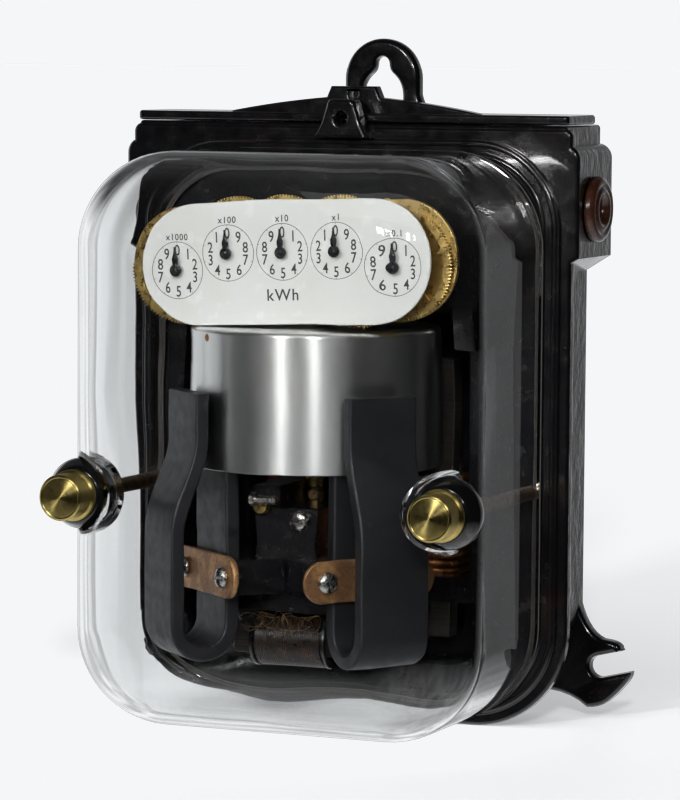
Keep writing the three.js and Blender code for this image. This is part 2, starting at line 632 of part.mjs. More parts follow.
// A winding with a square window, axis along the given direction.
for (const [name, side] of [["current_coil_left", -1], ["current_coil_right", 1]]) {
  const middle = side * (CORE.legIn + CORE.legOut) / 2;
  const winding = block([middle - 8.5, -22.6, -55.5], [middle + 8.5, -5.6, -22]);
  const window_ = block([side * (CORE.legIn - GAP), CORE.back - 8 - GAP, -60],
    [side * (CORE.legOut + GAP), CORE.back + GAP, -10]);
  placeSolid(name, cut(winding, window_), copper);
}

const COIL = { radius: 10, y: CORE.front + 4.5, z: (CORE.bottom + CORE.top) / 2 };
placeSolid("potential_coil", cut(
  rodX(COIL.radius, -14, 14, COIL.y, COIL.z, 24),
  block([-20, CORE.front - GAP, CORE.bottom - GAP], [20, CORE.front + 9 + GAP, CORE.top + GAP]),
), copper);

// ---- register: plates, pillars, arbors and pointers -------------------------------------

const register = new THREE.Group();
register.position.set(0, 0, REGISTER.pivotZ);
register.rotation.y = -REGISTER.tilt * DEG;
meter.add(register);

const works = new THREE.Group();
works.position.set(0, 0, -REGISTER.pivotZ);
register.add(works);

function stadiumPlate({ halfLength, halfHeight, back, front }) {
  const outline = roundedOutline(halfLength, REGISTER.centreZ - halfHeight, REGISTER.centreZ + halfHeight,
    halfHeight - 0.05);
  return slab(outline, back, back - front, 10).translate([REGISTER.centreX, 0, 0]);
}

const ARBOR = 0.8;
placeSolid("dial_plate", cut(
  stadiumPlate(DIAL),
  ...DIALS.map(({ x, z }) => rodY(ARBOR + 0.4, -80, -90, x, z, 8)),
), enamel, works);

placeSolid("register_back_plate", cut(
  stadiumPlate(BRASS),
  ...[...DIALS, MIDDLE].map(({ x, z }) => rodY(ARBOR + 0.4, -70, -90, x, z, 8)),
), brass, works);

[[-35.4, 75.2], [33.6, 75.2], [-11, 38.8]].forEach(([x, z], index) => {
  const pillar = rodY(1.4, BRASS.front - GAP, DIAL.back + GAP, x, z, 10);
  placeSolid(`dial_pillar_${index + 1}`, pillar, brass, works);
});

for (const [suffix, side] of [["left", -1], ["right", 1]]) {
  const post = rodY(2.4, -50 - 2 * GAP, BRASS.back + GAP, side * 30, 61, 12);
  placeSolid(`register_post_${suffix}`, post, brass, works);
}

// A spoked wheel standing in a plane of constant y.
function spokedWheel(radius, y, thick) {
  const rim = cut(rodY(radius, y + thick / 2, y - thick / 2, 0, 0, 36), rodY(radius - 2.6, -60, -100, 0, 0, 24));
  const hub = rodY(3, y + thick / 2, y - thick / 2, 0, 0, 12);
  const spokes = [0, 60, 120].map((turn) => block([-radius + 1, y - thick / 2, -1.1], [radius - 1, y + thick / 2, 1.1])
    .rotate([0, turn, 0]));
  return join(rim, hub, ...spokes);
}

const POINTER = {
  back: -88.4, front: -89.4, hub: 2.1, reach: 8, tip: 0.3, belly: 1.15, bellyAt: 4, taper: 5.6, waist: 1.15, waistAt: 3,
};

function pointerOutline() {
  const { hub, reach, tip, belly, bellyAt, taper, waist, waistAt } = POINTER;
  const shoulder = 65 * DEG;
  const outline = new THREE.Shape();
  outline.moveTo(tip, reach);
  outline.quadraticCurveTo(tip, taper, belly, bellyAt);
  outline.quadraticCurveTo(waist, waistAt, hub * Math.cos(shoulder), hub * Math.sin(shoulder));
  outline.absarc(0, 0, hub, shoulder, -180 * DEG - shoulder, true);
  outline.quadraticCurveTo(-waist, waistAt, -belly, bellyAt);
  outline.quadraticCurveTo(-tip, taper, -tip, reach);
  outline.closePath();
  return outline;
}

for (const { name, x, z, plane, drives } of DIALS) {
  const arbor = rodY(ARBOR, BRASS.back, POINTER.back + GAP, 0, 0, 8);
  const wheel = spokedWheel(PITCH_WHEEL - MESH, plane, 1);
  const pinion = drives ? [rodY(PITCH_PINION - MESH, drives + 0.6, drives - 0.6, 0, 0, 12)] : [];
  placeSolid(`${name}_arbor`, join(arbor, wheel, ...pinion), brass, works).position.set(x, 0, z);
  placeSolid(`${name}_pointer`, slab(pointerOutline(), POINTER.back, POINTER.back - POINTER.front, 5), black, works)
    .position.set(x, 0, z);
}

// First two arbors, behind the brass plate: worm wheel beside the rotor's worm, then a step down.
const LAYER = -73.5;
placeSolid("input_arbor", join(
  rodY(1, -57, BRASS.back + GAP, 0, 0, 10),
  rodY(INPUT.wheel, AXIS_Y + 1.6, AXIS_Y - 1.6, 0, 0, 24),
  rodY(PITCH_PINION - MESH, LAYER + 0.9, LAYER - 0.9, 0, 0, 12),
), brass, works).position.set(INPUT.x, 0, INPUT.z);

placeSolid("middle_arbor", join(
  rodY(ARBOR, -70, PLANES.a - 0.6, 0, 0, 8),
  rodY(MIDDLE.wheel - MESH, LAYER + 0.5, LAYER - 0.5, 0, 0, 32),
  rodY(PITCH_PINION - MESH, PLANES.a + 0.6, PLANES.a - 0.6, 0, 0, 12),
), brass, works).position.set(MIDDLE.x, 0, MIDDLE.z);

export default meter;
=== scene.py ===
# Antique dial electric meter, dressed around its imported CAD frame. Metres, +Y to the wall, +Z up.
import json
import math

import bmesh
import bpy
from mathutils import Matrix, Vector, noise


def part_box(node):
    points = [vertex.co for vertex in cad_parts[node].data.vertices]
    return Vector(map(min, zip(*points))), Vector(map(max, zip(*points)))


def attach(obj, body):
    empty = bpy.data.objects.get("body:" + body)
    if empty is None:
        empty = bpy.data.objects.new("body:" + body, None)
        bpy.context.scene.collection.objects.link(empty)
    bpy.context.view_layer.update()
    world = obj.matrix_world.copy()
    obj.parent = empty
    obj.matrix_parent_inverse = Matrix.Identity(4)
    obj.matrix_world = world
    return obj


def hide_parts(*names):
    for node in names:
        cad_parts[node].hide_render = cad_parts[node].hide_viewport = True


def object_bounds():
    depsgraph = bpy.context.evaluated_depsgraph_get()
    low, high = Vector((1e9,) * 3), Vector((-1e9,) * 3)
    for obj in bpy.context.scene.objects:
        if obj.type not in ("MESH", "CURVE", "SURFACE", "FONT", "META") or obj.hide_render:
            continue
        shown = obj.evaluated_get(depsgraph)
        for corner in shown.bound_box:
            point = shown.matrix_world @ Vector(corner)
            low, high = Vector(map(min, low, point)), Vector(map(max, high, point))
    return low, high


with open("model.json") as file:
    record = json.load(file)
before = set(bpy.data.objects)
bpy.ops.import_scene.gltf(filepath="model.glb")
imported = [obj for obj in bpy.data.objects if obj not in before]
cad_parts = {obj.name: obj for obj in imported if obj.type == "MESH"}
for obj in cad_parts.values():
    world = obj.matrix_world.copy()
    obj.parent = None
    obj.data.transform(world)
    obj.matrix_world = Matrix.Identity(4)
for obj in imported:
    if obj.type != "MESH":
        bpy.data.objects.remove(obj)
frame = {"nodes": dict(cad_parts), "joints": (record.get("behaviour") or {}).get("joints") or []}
cad_box = [list(corner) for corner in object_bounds()]

MM = 0.001
noise.seed_set(7)  # Blender seeds noise_vector from the clock unless told otherwise
SIDES = (("left", -1), ("right", 1))
JOINTS = {joint["name"]: joint for joint in frame["joints"]}


def joint_point(name):
    return Vector(JOINTS[name]["pos_m"])


DRUM_AXIS = joint_point("rotor_spin")
DIAL_NAMES = ["thousands", "hundreds", "tens", "ones", "tenths"]
DIAL_CENTRES = {name: joint_point(f"{name}_turn") for name in DIAL_NAMES}
LEVEL = DIAL_CENTRES["ones"] - DIAL_CENTRES["tens"]
REGISTER_TILT = math.atan2(LEVEL.z, LEVEL.x)


# ---- mesh helpers -----------------------------------------------------------------------

def link(name, mesh):
    obj = bpy.data.objects.new(name, mesh)
    bpy.context.scene.collection.objects.link(obj)
    return obj


def weld(mesh, distance, smallest_edge=None):
    """Joins points that lie together and turns every face outward."""
    work = bmesh.new()
    work.from_mesh(mesh)
    bmesh.ops.remove_doubles(work, verts=work.verts, dist=distance)
    if smallest_edge is not None:
        bmesh.ops.dissolve_degenerate(work, edges=work.edges, dist=smallest_edge)
    bmesh.ops.recalc_face_normals(work, faces=work.faces)
    work.to_mesh(mesh)
    work.free()


def from_points(name, points, faces):
    mesh = bpy.data.meshes.new(name)
    mesh.from_pydata([tuple(p) for p in points], [], faces)
    mesh.validate()
    weld(mesh, 1e-7)
    return link(name, mesh)


def grid_faces(rows, count, closed=False):
    """The faces between rings of points, row after row, each ring closed on itself."""
    faces = []
    for row in range(rows if closed else rows - 1):
        following = (row + 1) % rows
        for i in range(count):
            j = (i + 1) % count
            faces.append((row * count + i, row * count + j, following * count + j, following * count + i))
    return faces


def spot(x, z):
    """A point in millimetres on the plane y = 0, in metres."""
    return (x * MM, 0, z * MM)


def mirrored(points):
    """An outline's right half followed by its mirror image, back to the start."""
    return points + [(-x, z) for x, z in points[::-1]]


def on_side(points, side):
    """An outline drawn for the right, or mirrored for the left and kept in the same sense."""
    return [(side * x, z) for x, z in points][::side]


def settle(obj):
    """Applies the object's modifiers and matrix to its mesh."""
    bpy.context.view_layer.update()
    graph = bpy.context.evaluated_depsgraph_get()
    mesh = bpy.data.meshes.new_from_object(obj.evaluated_get(graph), depsgraph=graph)
    mesh.transform(obj.matrix_world)
    obj.modifiers.clear()
    obj.matrix_world = Matrix.Identity(4)
    if obj.type == "MESH":
        obj.data = mesh
        return obj
    name = obj.name
    bpy.data.objects.remove(obj)
    return link(name, mesh)


def boolean(obj, tool, operation):
    modifier = obj.modifiers.new("boolean", "BOOLEAN")
    modifier.operation = operation
    modifier.solver = "EXACT"
    modifier.object = tool
    settle(obj)
    bpy.data.objects.remove(tool)
    return obj


def cut(obj, *tools):
    for tool in tools:
        boolean(obj, tool, "DIFFERENCE")
    return obj


def unite(obj, *others):
    for other in others:
        boolean(obj, other, "UNION")
    return obj


def gather(name, *objects):
    """Several separate solids as one object."""
    work = bmesh.new()
    for obj in objects:
        work.from_mesh(obj.data)
        bpy.data.objects.remove(obj)
    mesh = bpy.data.meshes.new(name)
    work.to_mesh(mesh)
    work.free()
    return link(name, mesh)


def bevel(obj, width, segments=2, angle=35):
    modifier = obj.modifiers.new("bevel", "BEVEL")
    modifier.width = width
    modifier.segments = segments
    modifier.limit_method = "ANGLE"
    modifier.angle_limit = math.radians(angle)
    modifier.harden_normals = False
    return settle(obj)


def smooth(obj, angle=40):
    obj.data.shade_smooth()
    obj.data.set_sharp_from_angle(angle=math.radians(angle))
    modifier = obj.modifiers.new("normals", "WEIGHTED_NORMAL")
    modifier.keep_sharp = True
    modifier.weight = 60
    return obj


def displace(obj, amount, size, seed=0):
    """Moves each vertex along its normal by smooth noise."""
    shift = Vector((seed * 7.3, seed * 3.1, seed * 5.7))
    mesh = obj.data
    normals = [vertex.normal.copy() for vertex in mesh.vertices]
    for vertex, normal in zip(mesh.vertices, normals):
        vertex.co += normal * amount * noise.noise(vertex.co / size + shift)
    mesh.update()
    return obj


def arc(cx, cz, radius, start, end, steps):
    """Points on an arc, angles in degrees."""
    angles = [math.radians(start + (end - start) * i / steps) for i in range(steps + 1)]
    return [(cx + radius * math.cos(a), cz + radius * math.sin(a)) for a in angles]


def curve_through(start, control, end, steps=8):
    """Points on a quadratic curve, without its first point."""
    points = []
    for i in range(1, steps + 1):
        t = i / steps
        points.append(tuple((1 - t) ** 2 * a + 2 * t * (1 - t) * b + t * t * c
                            for a, b, c in zip(start, control, end)))
    return points


def rounded(half_width, bottom, top, corner_bottom, corner_top=None, steps=14):
    """A rounded rectangle, anticlockwise from the right end of its bottom edge."""
    corner_top = corner_bottom if corner_top is None else corner_top
    inner_bottom = half_width - corner_bottom
    inner_top = half_width - corner_top
    return (arc(inner_bottom, bottom + corner_bottom, corner_bottom, -90, 0, steps)
            + arc(inner_top, top - corner_top, corner_top, 0, 90, steps)
            + arc(-inner_top, top - corner_top, corner_top, 90, 180, steps)
            + arc(-inner_bottom, bottom + corner_bottom, corner_bottom, 180, 270, steps))


UPRIGHT = Matrix.Rotation(math.radians(90), 4, "X")


def plate(name, outlines, back, front, edge, steps=3, place=UPRIGHT):
    """A slab with rounded edges. Its outlines are in x and z, in millimetres; the first is the outside."""
    curve = bpy.data.curves.new(name, "CURVE")
    curve.dimensions = "2D"
    curve.fill_mode = "BOTH"
    curve.extrude = (abs(back - front) / 2 - edge) * MM
    curve.bevel_depth = edge * MM
    curve.bevel_resolution = steps
    curve.offset = -edge * MM
    for outline in outlines:
        spline = curve.splines.new("POLY")
        spline.points.add(len(outline) - 1)
        for point, (x, z) in zip(spline.points, outline):
            point.co = (x * MM, z * MM, 0, 1)
        spline.use_cyclic_u = True
    obj = bpy.data.objects.new(name, curve)
    bpy.context.scene.collection.objects.link(obj)
    obj.matrix_world = Matrix.Translation((0, (back + front) / 2 * MM, 0)) @ place
    obj = settle(obj)
    weld(obj.data, 2e-6)
    return obj


AXES = {
    "X": (Vector((1, 0, 0)), Vector((0, 1, 0)), Vector((0, 0, 1))),
    "Y": (Vector((0, 1, 0)), Vector((0, 0, 1)), Vector((1, 0, 0))),
    "Z": (Vector((0, 0, 1)), Vector((1, 0, 0)), Vector((0, 1, 0))),
}


def turned(name, profile, axis="Y", centre=(0, 0, 0), steps=48, closed=False):
    """A profile of (radius, along) pairs in millimetres, turned about an axis through centre, in metres."""
    along_axis, across, over = AXES[axis]
    centre = Vector(centre)
    points = []
    for radius, along in profile:
        for i in range(steps):
            a = 2 * math.pi * i / steps
            outward = across * math.cos(a) + over * math.sin(a)
            points.append(centre + (along_axis * along + outward * radius) * MM)
    obj = from_points(name, points, grid_faces(len(profile), steps, closed))
    weld(obj.data, 1e-7, 1e-8)
    return obj


def bar(name, path, section, closed=False):
    """A section of (across, out) pairs carried along path = [(point, across, out)], all in metres."""
    count = len(section)
    points = [p + across * a + out * b for p, across, out in path for a, b in section]
    rows = len(path)
    faces = grid_faces(rows, count, closed)
    if not closed:
        faces.append(tuple(range(count))[::-1])
        faces.append(tuple((rows - 1) * count + i for i in range(count)))
    return from_points(name, points, faces)


def wire(name, points, radius, sides=8, closed=False):
    """A round wire through points, in metres."""
    points = [Vector(p) for p in points]
    total = len(points)
    path = []
    across = None
    for i, point in enumerate(points):
        before = points[(i - 1) % total] if closed or i > 0 else point
        after = points[(i + 1) % total] if closed or i + 1 < total else point
        ahead = (after - before).normalized()
        if across is None:
            across = ahead.orthogonal().normalized()
        across = (across - ahead * across.dot(ahead)).normalized()
        path.append((point, across, ahead.cross(across)))
    section = [(radius * math.cos(2 * math.pi * i / sides), radius * math.sin(2 * math.pi * i / sides))
               for i in range(sides)]
    return bar(name, path, section, closed)


def block(name, low, high, edge=0.6, segments=2):
    """A softened box between two corners, in millimetres."""
    xs, ys, zs = zip(low, high)
    points = [(x * MM, y * MM, z * MM) for x in xs for y in ys for z in zs]
    faces = [(0, 1, 3, 2), (4, 6, 7, 5), (0, 4, 5, 1), (2, 3, 7, 6), (0, 2, 6, 4), (1, 5, 7, 3)]
    return bevel(from_points(name, points, faces), edge * MM, segments)


def drill(radius, start, end, steps=24):
    """A plain round cutter between two points, in millimetres."""
    a = Vector(start) * MM
    b = Vector(end) * MM
    return wire("drill", [a, b], radius * MM, steps)


def softened(node, width, segments=2):
    """A CAD node's shape with its flat faces joined and its edges rounded."""
    source = frame["nodes"][node]
    mesh = source.data.copy()
    mesh.materials.clear()
    obj = link(f"{node}_soft", mesh)
    work = bmesh.new()
    work.from_mesh(mesh)
    bmesh.ops.remove_doubles(work, verts=work.verts, dist=1e-6)
    bmesh.ops.dissolve_limit(work, angle_limit=math.radians(1.5), verts=work.verts, edges=work.edges)
    work.to_mesh(mesh)
    work.free()
    return bevel(obj, width * MM, segments)


def register_place(obj):
    """Turns a piece drawn level with the dials to the register's real tilt."""
    pivot = DIAL_CENTRES["tens"]
    turn = (Matrix.Translation(pivot) @ Matrix.Rotation(-REGISTER_TILT, 4, "Y") @ Matrix.Translation(-pivot))
    obj.data.transform(turn)
    return obj


def level_point(point):
    """Where a point of the tilted register lies on the level drawing, in millimetres."""
    pivot = DIAL_CENTRES["tens"]
    level = Matrix.Rotation(REGISTER_TILT, 3, "Y") @ (point - pivot) + pivot
    return level / MM


def piece(obj, name, material, body, slot, *nodes):
    obj.name = name
    obj.data.name = name
    obj.data.materials.clear()
    obj.data.materials.append(material)
    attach(obj, body)
    if nodes:
        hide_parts(*nodes)
    return obj


# ---- materials --------------------------------------------------------------------------

def socket_name(key):
    return "IOR" if key == "ior" else key.replace("_", " ").title()


class Paint:
    """A node material around one Principled shader."""

    def __init__(self, name, colour, roughness, metallic=0.0, **sockets):
        self.material = bpy.data.materials.new(name)
        self.material.use_nodes = True
        self.tree = self.material.node_tree
        self.shader = self.tree.nodes["Principled BSDF"]
        self.set(self.shader, {"Base Color": (*colour, 1), "Roughness": roughness, "Metallic": metallic})
        self.set(self.shader, {socket_name(key): value for key, value in sockets.items()})
        self.height = None

    def set(self, node, values):
        for key, value in values.items():
            node.inputs[key].default_value = value

    def add(self, kind, links=(), **values):
        node = self.tree.nodes.new(kind)
        self.set(node, {socket_name(key): value for key, value in values.items()})
        for source, socket in links:
            self.tree.links.new(source, node.inputs[socket])
        return node

    def where(self, stretch=(1, 1, 1)):
        """The point in the row frame, in metres, stretched along each axis."""
        point = self.add("ShaderNodeTexCoord")
        mapping = self.add("ShaderNodeMapping", [(point.outputs["Object"], "Vector")])
        mapping.inputs["Scale"].default_value = stretch
        return mapping.outputs["Vector"]

    def noise(self, size, detail=3.0, stretch=(1, 1, 1), rough=0.55):
        """Noise from 0 to 1 with features of about the given size, in metres."""
        node = self.add("ShaderNodeTexNoise", [(self.where(stretch), "Vector")], scale=1 / size,
                        detail=detail, roughness=rough)
        return node.outputs["Fac"]

    def spread(self, source, low, high, to_low=0.0, to_high=1.0):
        node = self.add("ShaderNodeMapRange", [(source, "Value")])
        for key, value in (("From Min", low), ("From Max", high), ("To Min", to_low), ("To Max", to_high)):
            node.inputs[key].default_value = value
        return node.outputs["Result"]

    def times(self, a, b, operation="MULTIPLY"):
        node = self.add("ShaderNodeMath")
        node.operation = operation
        for index, value in enumerate((a, b)):
            if isinstance(value, (int, float)):
                node.inputs[index].default_value = value
            else:
                self.tree.links.new(value, node.inputs[index])
        return node.outputs["Value"]

    def tint(self, mask, colour):
        """Lays a colour over the base colour where the mask is 1."""
        base = self.shader.inputs["Base Color"]
        node = self.add("ShaderNodeMix")
        node.data_type = "RGBA"
        under, over = [socket for socket in node.inputs if socket.type == "RGBA"]
        result = next(socket for socket in node.outputs if socket.type == "RGBA")
        self.tree.links.new(mask, node.inputs[0])
        if base.is_linked:
            self.tree.links.new(base.links[0].from_socket, under)
        else:
            under.default_value = base.default_value[:]
        over.default_value = (*colour, 1)
        self.tree.links.new(result, base)
        return self

    def rough(self, mask, low, high):
        self.tree.links.new(self.spread(mask, 0.3, 0.7, low, high), self.shader.inputs["Roughness"])
        return self

    def bump(self, source, distance, strength=1.0):
        node = self.add("ShaderNodeBump", [(source, "Height")], strength=strength, distance=distance)
        if self.height is not None:
            self.tree.links.new(self.height, node.inputs["Normal"])
        self.height = node.outputs["Normal"]
        self.tree.links.new(self.height, self.shader.inputs["Normal"])
        return self

    def facing(self, axis, low=0.6, high=0.9):
        """1 on faces that look along an axis, either way."""
        geometry = self.add("ShaderNodeNewGeometry")
        parts = self.add("ShaderNodeSeparateXYZ", [(geometry.outputs["True Normal"], "Vector")])
        size = self.times(parts.outputs[axis], 0.0, "ABSOLUTE")
        return self.spread(size, low, high)

    def brushed(self, axis, amount, rotation=0.25):
        tangent = self.add("ShaderNodeTangent")
        tangent.direction_type = "RADIAL"
        tangent.axis = axis
        self.tree.links.new(tangent.outputs["Tangent"], self.shader.inputs["Tangent"])
        self.set(self.shader, {"Anisotropic": amount, "Anisotropic Rotation": rotation})
        return self


def japan_paint():
    """Thick glossy black over cast iron: orange peel, a coarse skin on the side walls, brown where thin."""
    paint = Paint("black_japan", (0.0055, 0.0055, 0.0065), 0.2, coat_weight=0.7, coat_roughness=0.05)
    thin = paint.spread(paint.noise(0.018, 5), 0.56, 0.74, 0, 0.8)
    paint.tint(thin, (0.017, 0.0085, 0.0045))
    paint.rough(paint.noise(0.006, 4), 0.13, 0.3)
    paint.bump(paint.noise(0.0035, 3), 0.0004, 0.18)
    walls = paint.times(paint.noise(0.0042, 4, (1, 1, 0.55)), paint.facing("X"))
    paint.bump(walls, 0.0012, 0.55)
    paint.bump(paint.noise(0.0007, 2), 0.00005, 0.3)
    return paint.material


def glossy_black():
    paint = Paint("gloss_black", (0.006, 0.006, 0.0065), 0.12, coat_weight=0.6, coat_roughness=0.04)
    paint.rough(paint.noise(0.003, 4), 0.08, 0.2)
    paint.bump(paint.noise(0.0016, 2), 0.0001, 0.25)
    return paint.material


def frame_paint():
    """The works' own frame: glossy black, a little dusty on its upward faces."""
    paint = Paint("frame_black", (0.006, 0.006, 0.007), 0.2, coat_weight=0.6, coat_roughness=0.06)
    paint.tint(paint.times(paint.facing("Z"), paint.spread(paint.noise(0.004, 5), 0.4, 0.8, 0, 0.4)),
               (0.03, 0.028, 0.025))
    paint.rough(paint.noise(0.003, 5), 0.14, 0.3)
    paint.bump(paint.noise(0.0035, 3), 0.0004, 0.35)
    return paint.material


def pointer_paint():
    paint = Paint("pointer_black", (0.004, 0.004, 0.005), 0.3)
    paint.rough(paint.noise(0.0015, 3), 0.22, 0.42)
    paint.bump(paint.noise(0.0006, 2), 0.00003, 0.3)
    return paint.material


def ink():
    paint = Paint("dial_ink", (0.02, 0.02, 0.024), 0.45)
    paint.tint(paint.spread(paint.noise(0.0009, 4), 0.5, 0.75, 0, 0.55), (0.13, 0.13, 0.13))
    return paint.material


def enamel():
    """Fired white enamel with faint yellowing, specks and a soft wave."""
    paint = Paint("white_enamel", (0.66, 0.665, 0.645), 0.2, coat_weight=0.35, coat_roughness=0.06)
    paint.tint(paint.spread(paint.noise(0.03, 3), 0.45, 0.75, 0, 0.5), (0.58, 0.57, 0.50))
    paint.tint(paint.spread(paint.noise(0.0011, 3), 0.70, 0.78, 0, 0.5), (0.42, 0.38, 0.30))
    paint.rough(paint.noise(0.005, 4), 0.16, 0.3)
    paint.bump(paint.noise(0.009, 2), 0.0002, 0.15)
    return paint.material


def drum_metal():
    """Spun aluminium: fine rings of tint round the drum and a few darker, warmer patches, all one sheen."""
    paint = Paint("aluminium", (0.74, 0.745, 0.745), 0.3, 1.0)
    rings = paint.noise(0.0004, 3, (0.002, 0.002, 1.0))
    paint.tint(paint.spread(rings, 0.3, 0.7, 0, 0.16), (0.62, 0.625, 0.62))
    paint.tint(paint.spread(paint.noise(0.03, 2, (1, 1, 0.5)), 0.4, 0.75, 0, 0.3), (0.66, 0.65, 0.58))
    paint.brushed("Z", 0.8)
    return paint.material


def turned_brass():
    """Bright brass, dulled in patches, its sheen drawn out round the axis as a turning tool leaves it."""
    paint = Paint("polished_brass", (0.66, 0.52, 0.18), 0.2, 1.0)
    paint.tint(paint.spread(paint.noise(0.004, 5), 0.5, 0.75, 0, 0.6), (0.36, 0.25, 0.08))
    paint.rough(paint.noise(0.0012, 4), 0.27, 0.36)
    paint.brushed("Y", 0.9)
    return paint.material


def aged_brass():
    paint = Paint("aged_brass", (0.62, 0.44, 0.16), 0.28, 1.0)
    paint.tint(paint.spread(paint.noise(0.008, 6), 0.42, 0.72, 0, 0.75), (0.26, 0.16, 0.05))
    paint.tint(paint.spread(paint.noise(0.0016, 4), 0.62, 0.75, 0, 0.6), (0.10, 0.065, 0.03))
    paint.rough(paint.noise(0.0025, 5), 0.2, 0.42)
    paint.bump(paint.noise(0.0012, 4, (1, 1, 0.2)), 0.00004, 0.5)
    return paint.material


def dark_bronze():
    paint = Paint("bronze", (0.15, 0.09, 0.042), 0.34, 0.9)
    paint.tint(paint.spread(paint.noise(0.003, 5), 0.42, 0.7, 0, 0.85), (0.05, 0.03, 0.017))
    paint.rough(paint.noise(0.0015, 4), 0.24, 0.5)
    paint.bump(paint.noise(0.0008, 3), 0.00006, 0.5)
    return paint.material


def strap_metal():
    """Brown copper, worn bright and grainy in patches."""
    paint = Paint("strap_copper", (0.30, 0.155, 0.075), 0.42, 0.75)
    patches = paint.noise(0.007, 4)
    paint.tint(paint.spread(patches, 0.48, 0.62, 0, 0.8), (0.55, 0.30, 0.12))
    paint.tint(paint.spread(paint.noise(0.0012, 5), 0.5, 0.72, 0, 0.7), (0.10, 0.05, 0.028))
    paint.rough(paint.noise(0.0008, 4), 0.28, 0.6)
    paint.bump(paint.noise(0.00055, 4), 0.00012, 0.8)
    paint.bump(paint.noise(0.004, 2), 0.0003, 0.4)
    return paint.material


def screw_steel():
    paint = Paint("steel", (0.55, 0.54, 0.52), 0.22, 1.0)
    paint.tint(paint.spread(paint.noise(0.0018, 5), 0.5, 0.75, 0, 0.7), (0.20, 0.18, 0.16))
    paint.rough(paint.noise(0.001, 4), 0.14, 0.36)
    paint.bump(paint.noise(0.0005, 3), 0.00003, 0.4)
    return paint.material


def magnet_steel():
    """Hardened bar steel, blacked: nearly matt, with a bluish cast and faint handling marks."""
    paint = Paint("magnet_steel", (0.012, 0.0125, 0.0145), 0.38, 0.3)
    paint.tint(paint.spread(paint.noise(0.012, 5), 0.45, 0.72, 0, 0.6), (0.02, 0.02, 0.022))
    paint.tint(paint.spread(paint.noise(0.0008, 4), 0.68, 0.78, 0, 0.5), (0.06, 0.057, 0.053))
    paint.rough(paint.noise(0.004, 5), 0.34, 0.55)
    paint.bump(paint.noise(0.0018, 4), 0.00012, 0.45)
    return paint.material


def laminated_iron():
    paint = Paint("core_iron", (0.03, 0.029, 0.028), 0.5, 0.6)
    layers = paint.noise(0.0007, 2, (0.02, 0.02, 1.0))
    paint.tint(paint.spread(layers, 0.4, 0.6, 0, 0.6), (0.075, 0.06, 0.045))
    paint.bump(layers, 0.0002, 0.6)
    return paint.material


def enamelled_copper():
    paint = Paint("winding", (0.40, 0.17, 0.06), 0.3, 0.85)
    paint.tint(paint.spread(paint.noise(0.003, 5), 0.42, 0.7, 0, 0.8), (0.12, 0.05, 0.022))
    paint.rough(paint.noise(0.001, 3), 0.22, 0.45)
    paint.bump(paint.noise(0.0005, 3), 0.00004, 0.5)
    return paint.material


def shellacked_winding():
    """Fine wire under old dark shellac, with the copper glinting through where it is thin."""
    paint = Paint("shellac_winding", (0.012, 0.008, 0.006), 0.3, 0.2, coat_weight=0.5, coat_roughness=0.15)
    paint.tint(paint.spread(paint.noise(0.004, 5), 0.52, 0.72, 0, 0.8), (0.085, 0.032, 0.012))
    paint.rough(paint.noise(0.0015, 4), 0.2, 0.5)
    paint.bump(paint.noise(0.0012, 4), 0.0001, 0.5)
    return paint.material


def brown_fibre():
    """Polished dark fibre with a soft swirl, as turned bushings have."""
    paint = Paint("fibre", (0.07, 0.024, 0.012), 0.22, coat_weight=0.35, coat_roughness=0.12)
    paint.tint(paint.spread(paint.noise(0.003, 4, (0.35, 1, 1)), 0.42, 0.66, 0, 0.8), (0.028, 0.011, 0.007))
    paint.tint(paint.spread(paint.noise(0.0009, 4, (0.3, 1, 1)), 0.6, 0.75, 0, 0.5), (0.14, 0.055, 0.025))
    paint.rough(paint.noise(0.002, 4), 0.16, 0.34)
    paint.bump(paint.noise(0.0008, 3), 0.00004, 0.4)
    return paint.material


def pressed_felt():
    paint = Paint("felt", (0.028, 0.025, 0.022), 0.95, sheen_weight=0.5)
    paint.tint(paint.spread(paint.noise(0.0007, 5), 0.4, 0.7, 0, 0.6), (0.06, 0.052, 0.045))
    paint.bump(paint.noise(0.0004, 4), 0.0002, 0.9)
    return paint.material


def pressed_glass():
    """Clear glass whose surface carries the soft waves of the mould."""
    paint = Paint("clear_glass", (0.965, 0.975, 0.975), 0.0, ior=1.5, transmission_weight=1.0)
    paint.bump(paint.noise(0.045, 1.2, (1, 1, 0.35)), 0.0010, 0.2)
    return paint.material


def pale_floor():
    paint = Paint("pale_floor", (0.86, 0.865, 0.875), 0.6, emission_strength=0.12)
    paint.shader.inputs["Emission Color"].default_value = (1, 1, 1, 1)
    paint.tint(paint.spread(paint.noise(0.4, 3), 0.3, 0.8, 0, 0.25), (0.83, 0.835, 0.85))
    return paint.material


JAPAN = japan_paint()
GLOSS = glossy_black()
WORKS_BLACK = frame_paint()
POINTER = pointer_paint()
INK = ink()
ENAMEL = enamel()
DRUM = drum_metal()
BRIGHT_BRASS = turned_brass()
BRASS = aged_brass()
BRONZE = dark_bronze()
STRAP = strap_metal()
STEEL = screw_steel()
MAGNET = magnet_steel()
IRON = laminated_iron()
COPPER = enamelled_copper()
SHELLAC = shellacked_winding()
FIBRE = brown_fibre()
FELT = pressed_felt()
GLASS = pressed_glass()
FLOOR = pale_floor()


# ---- case -------------------------------------------------------------------------------

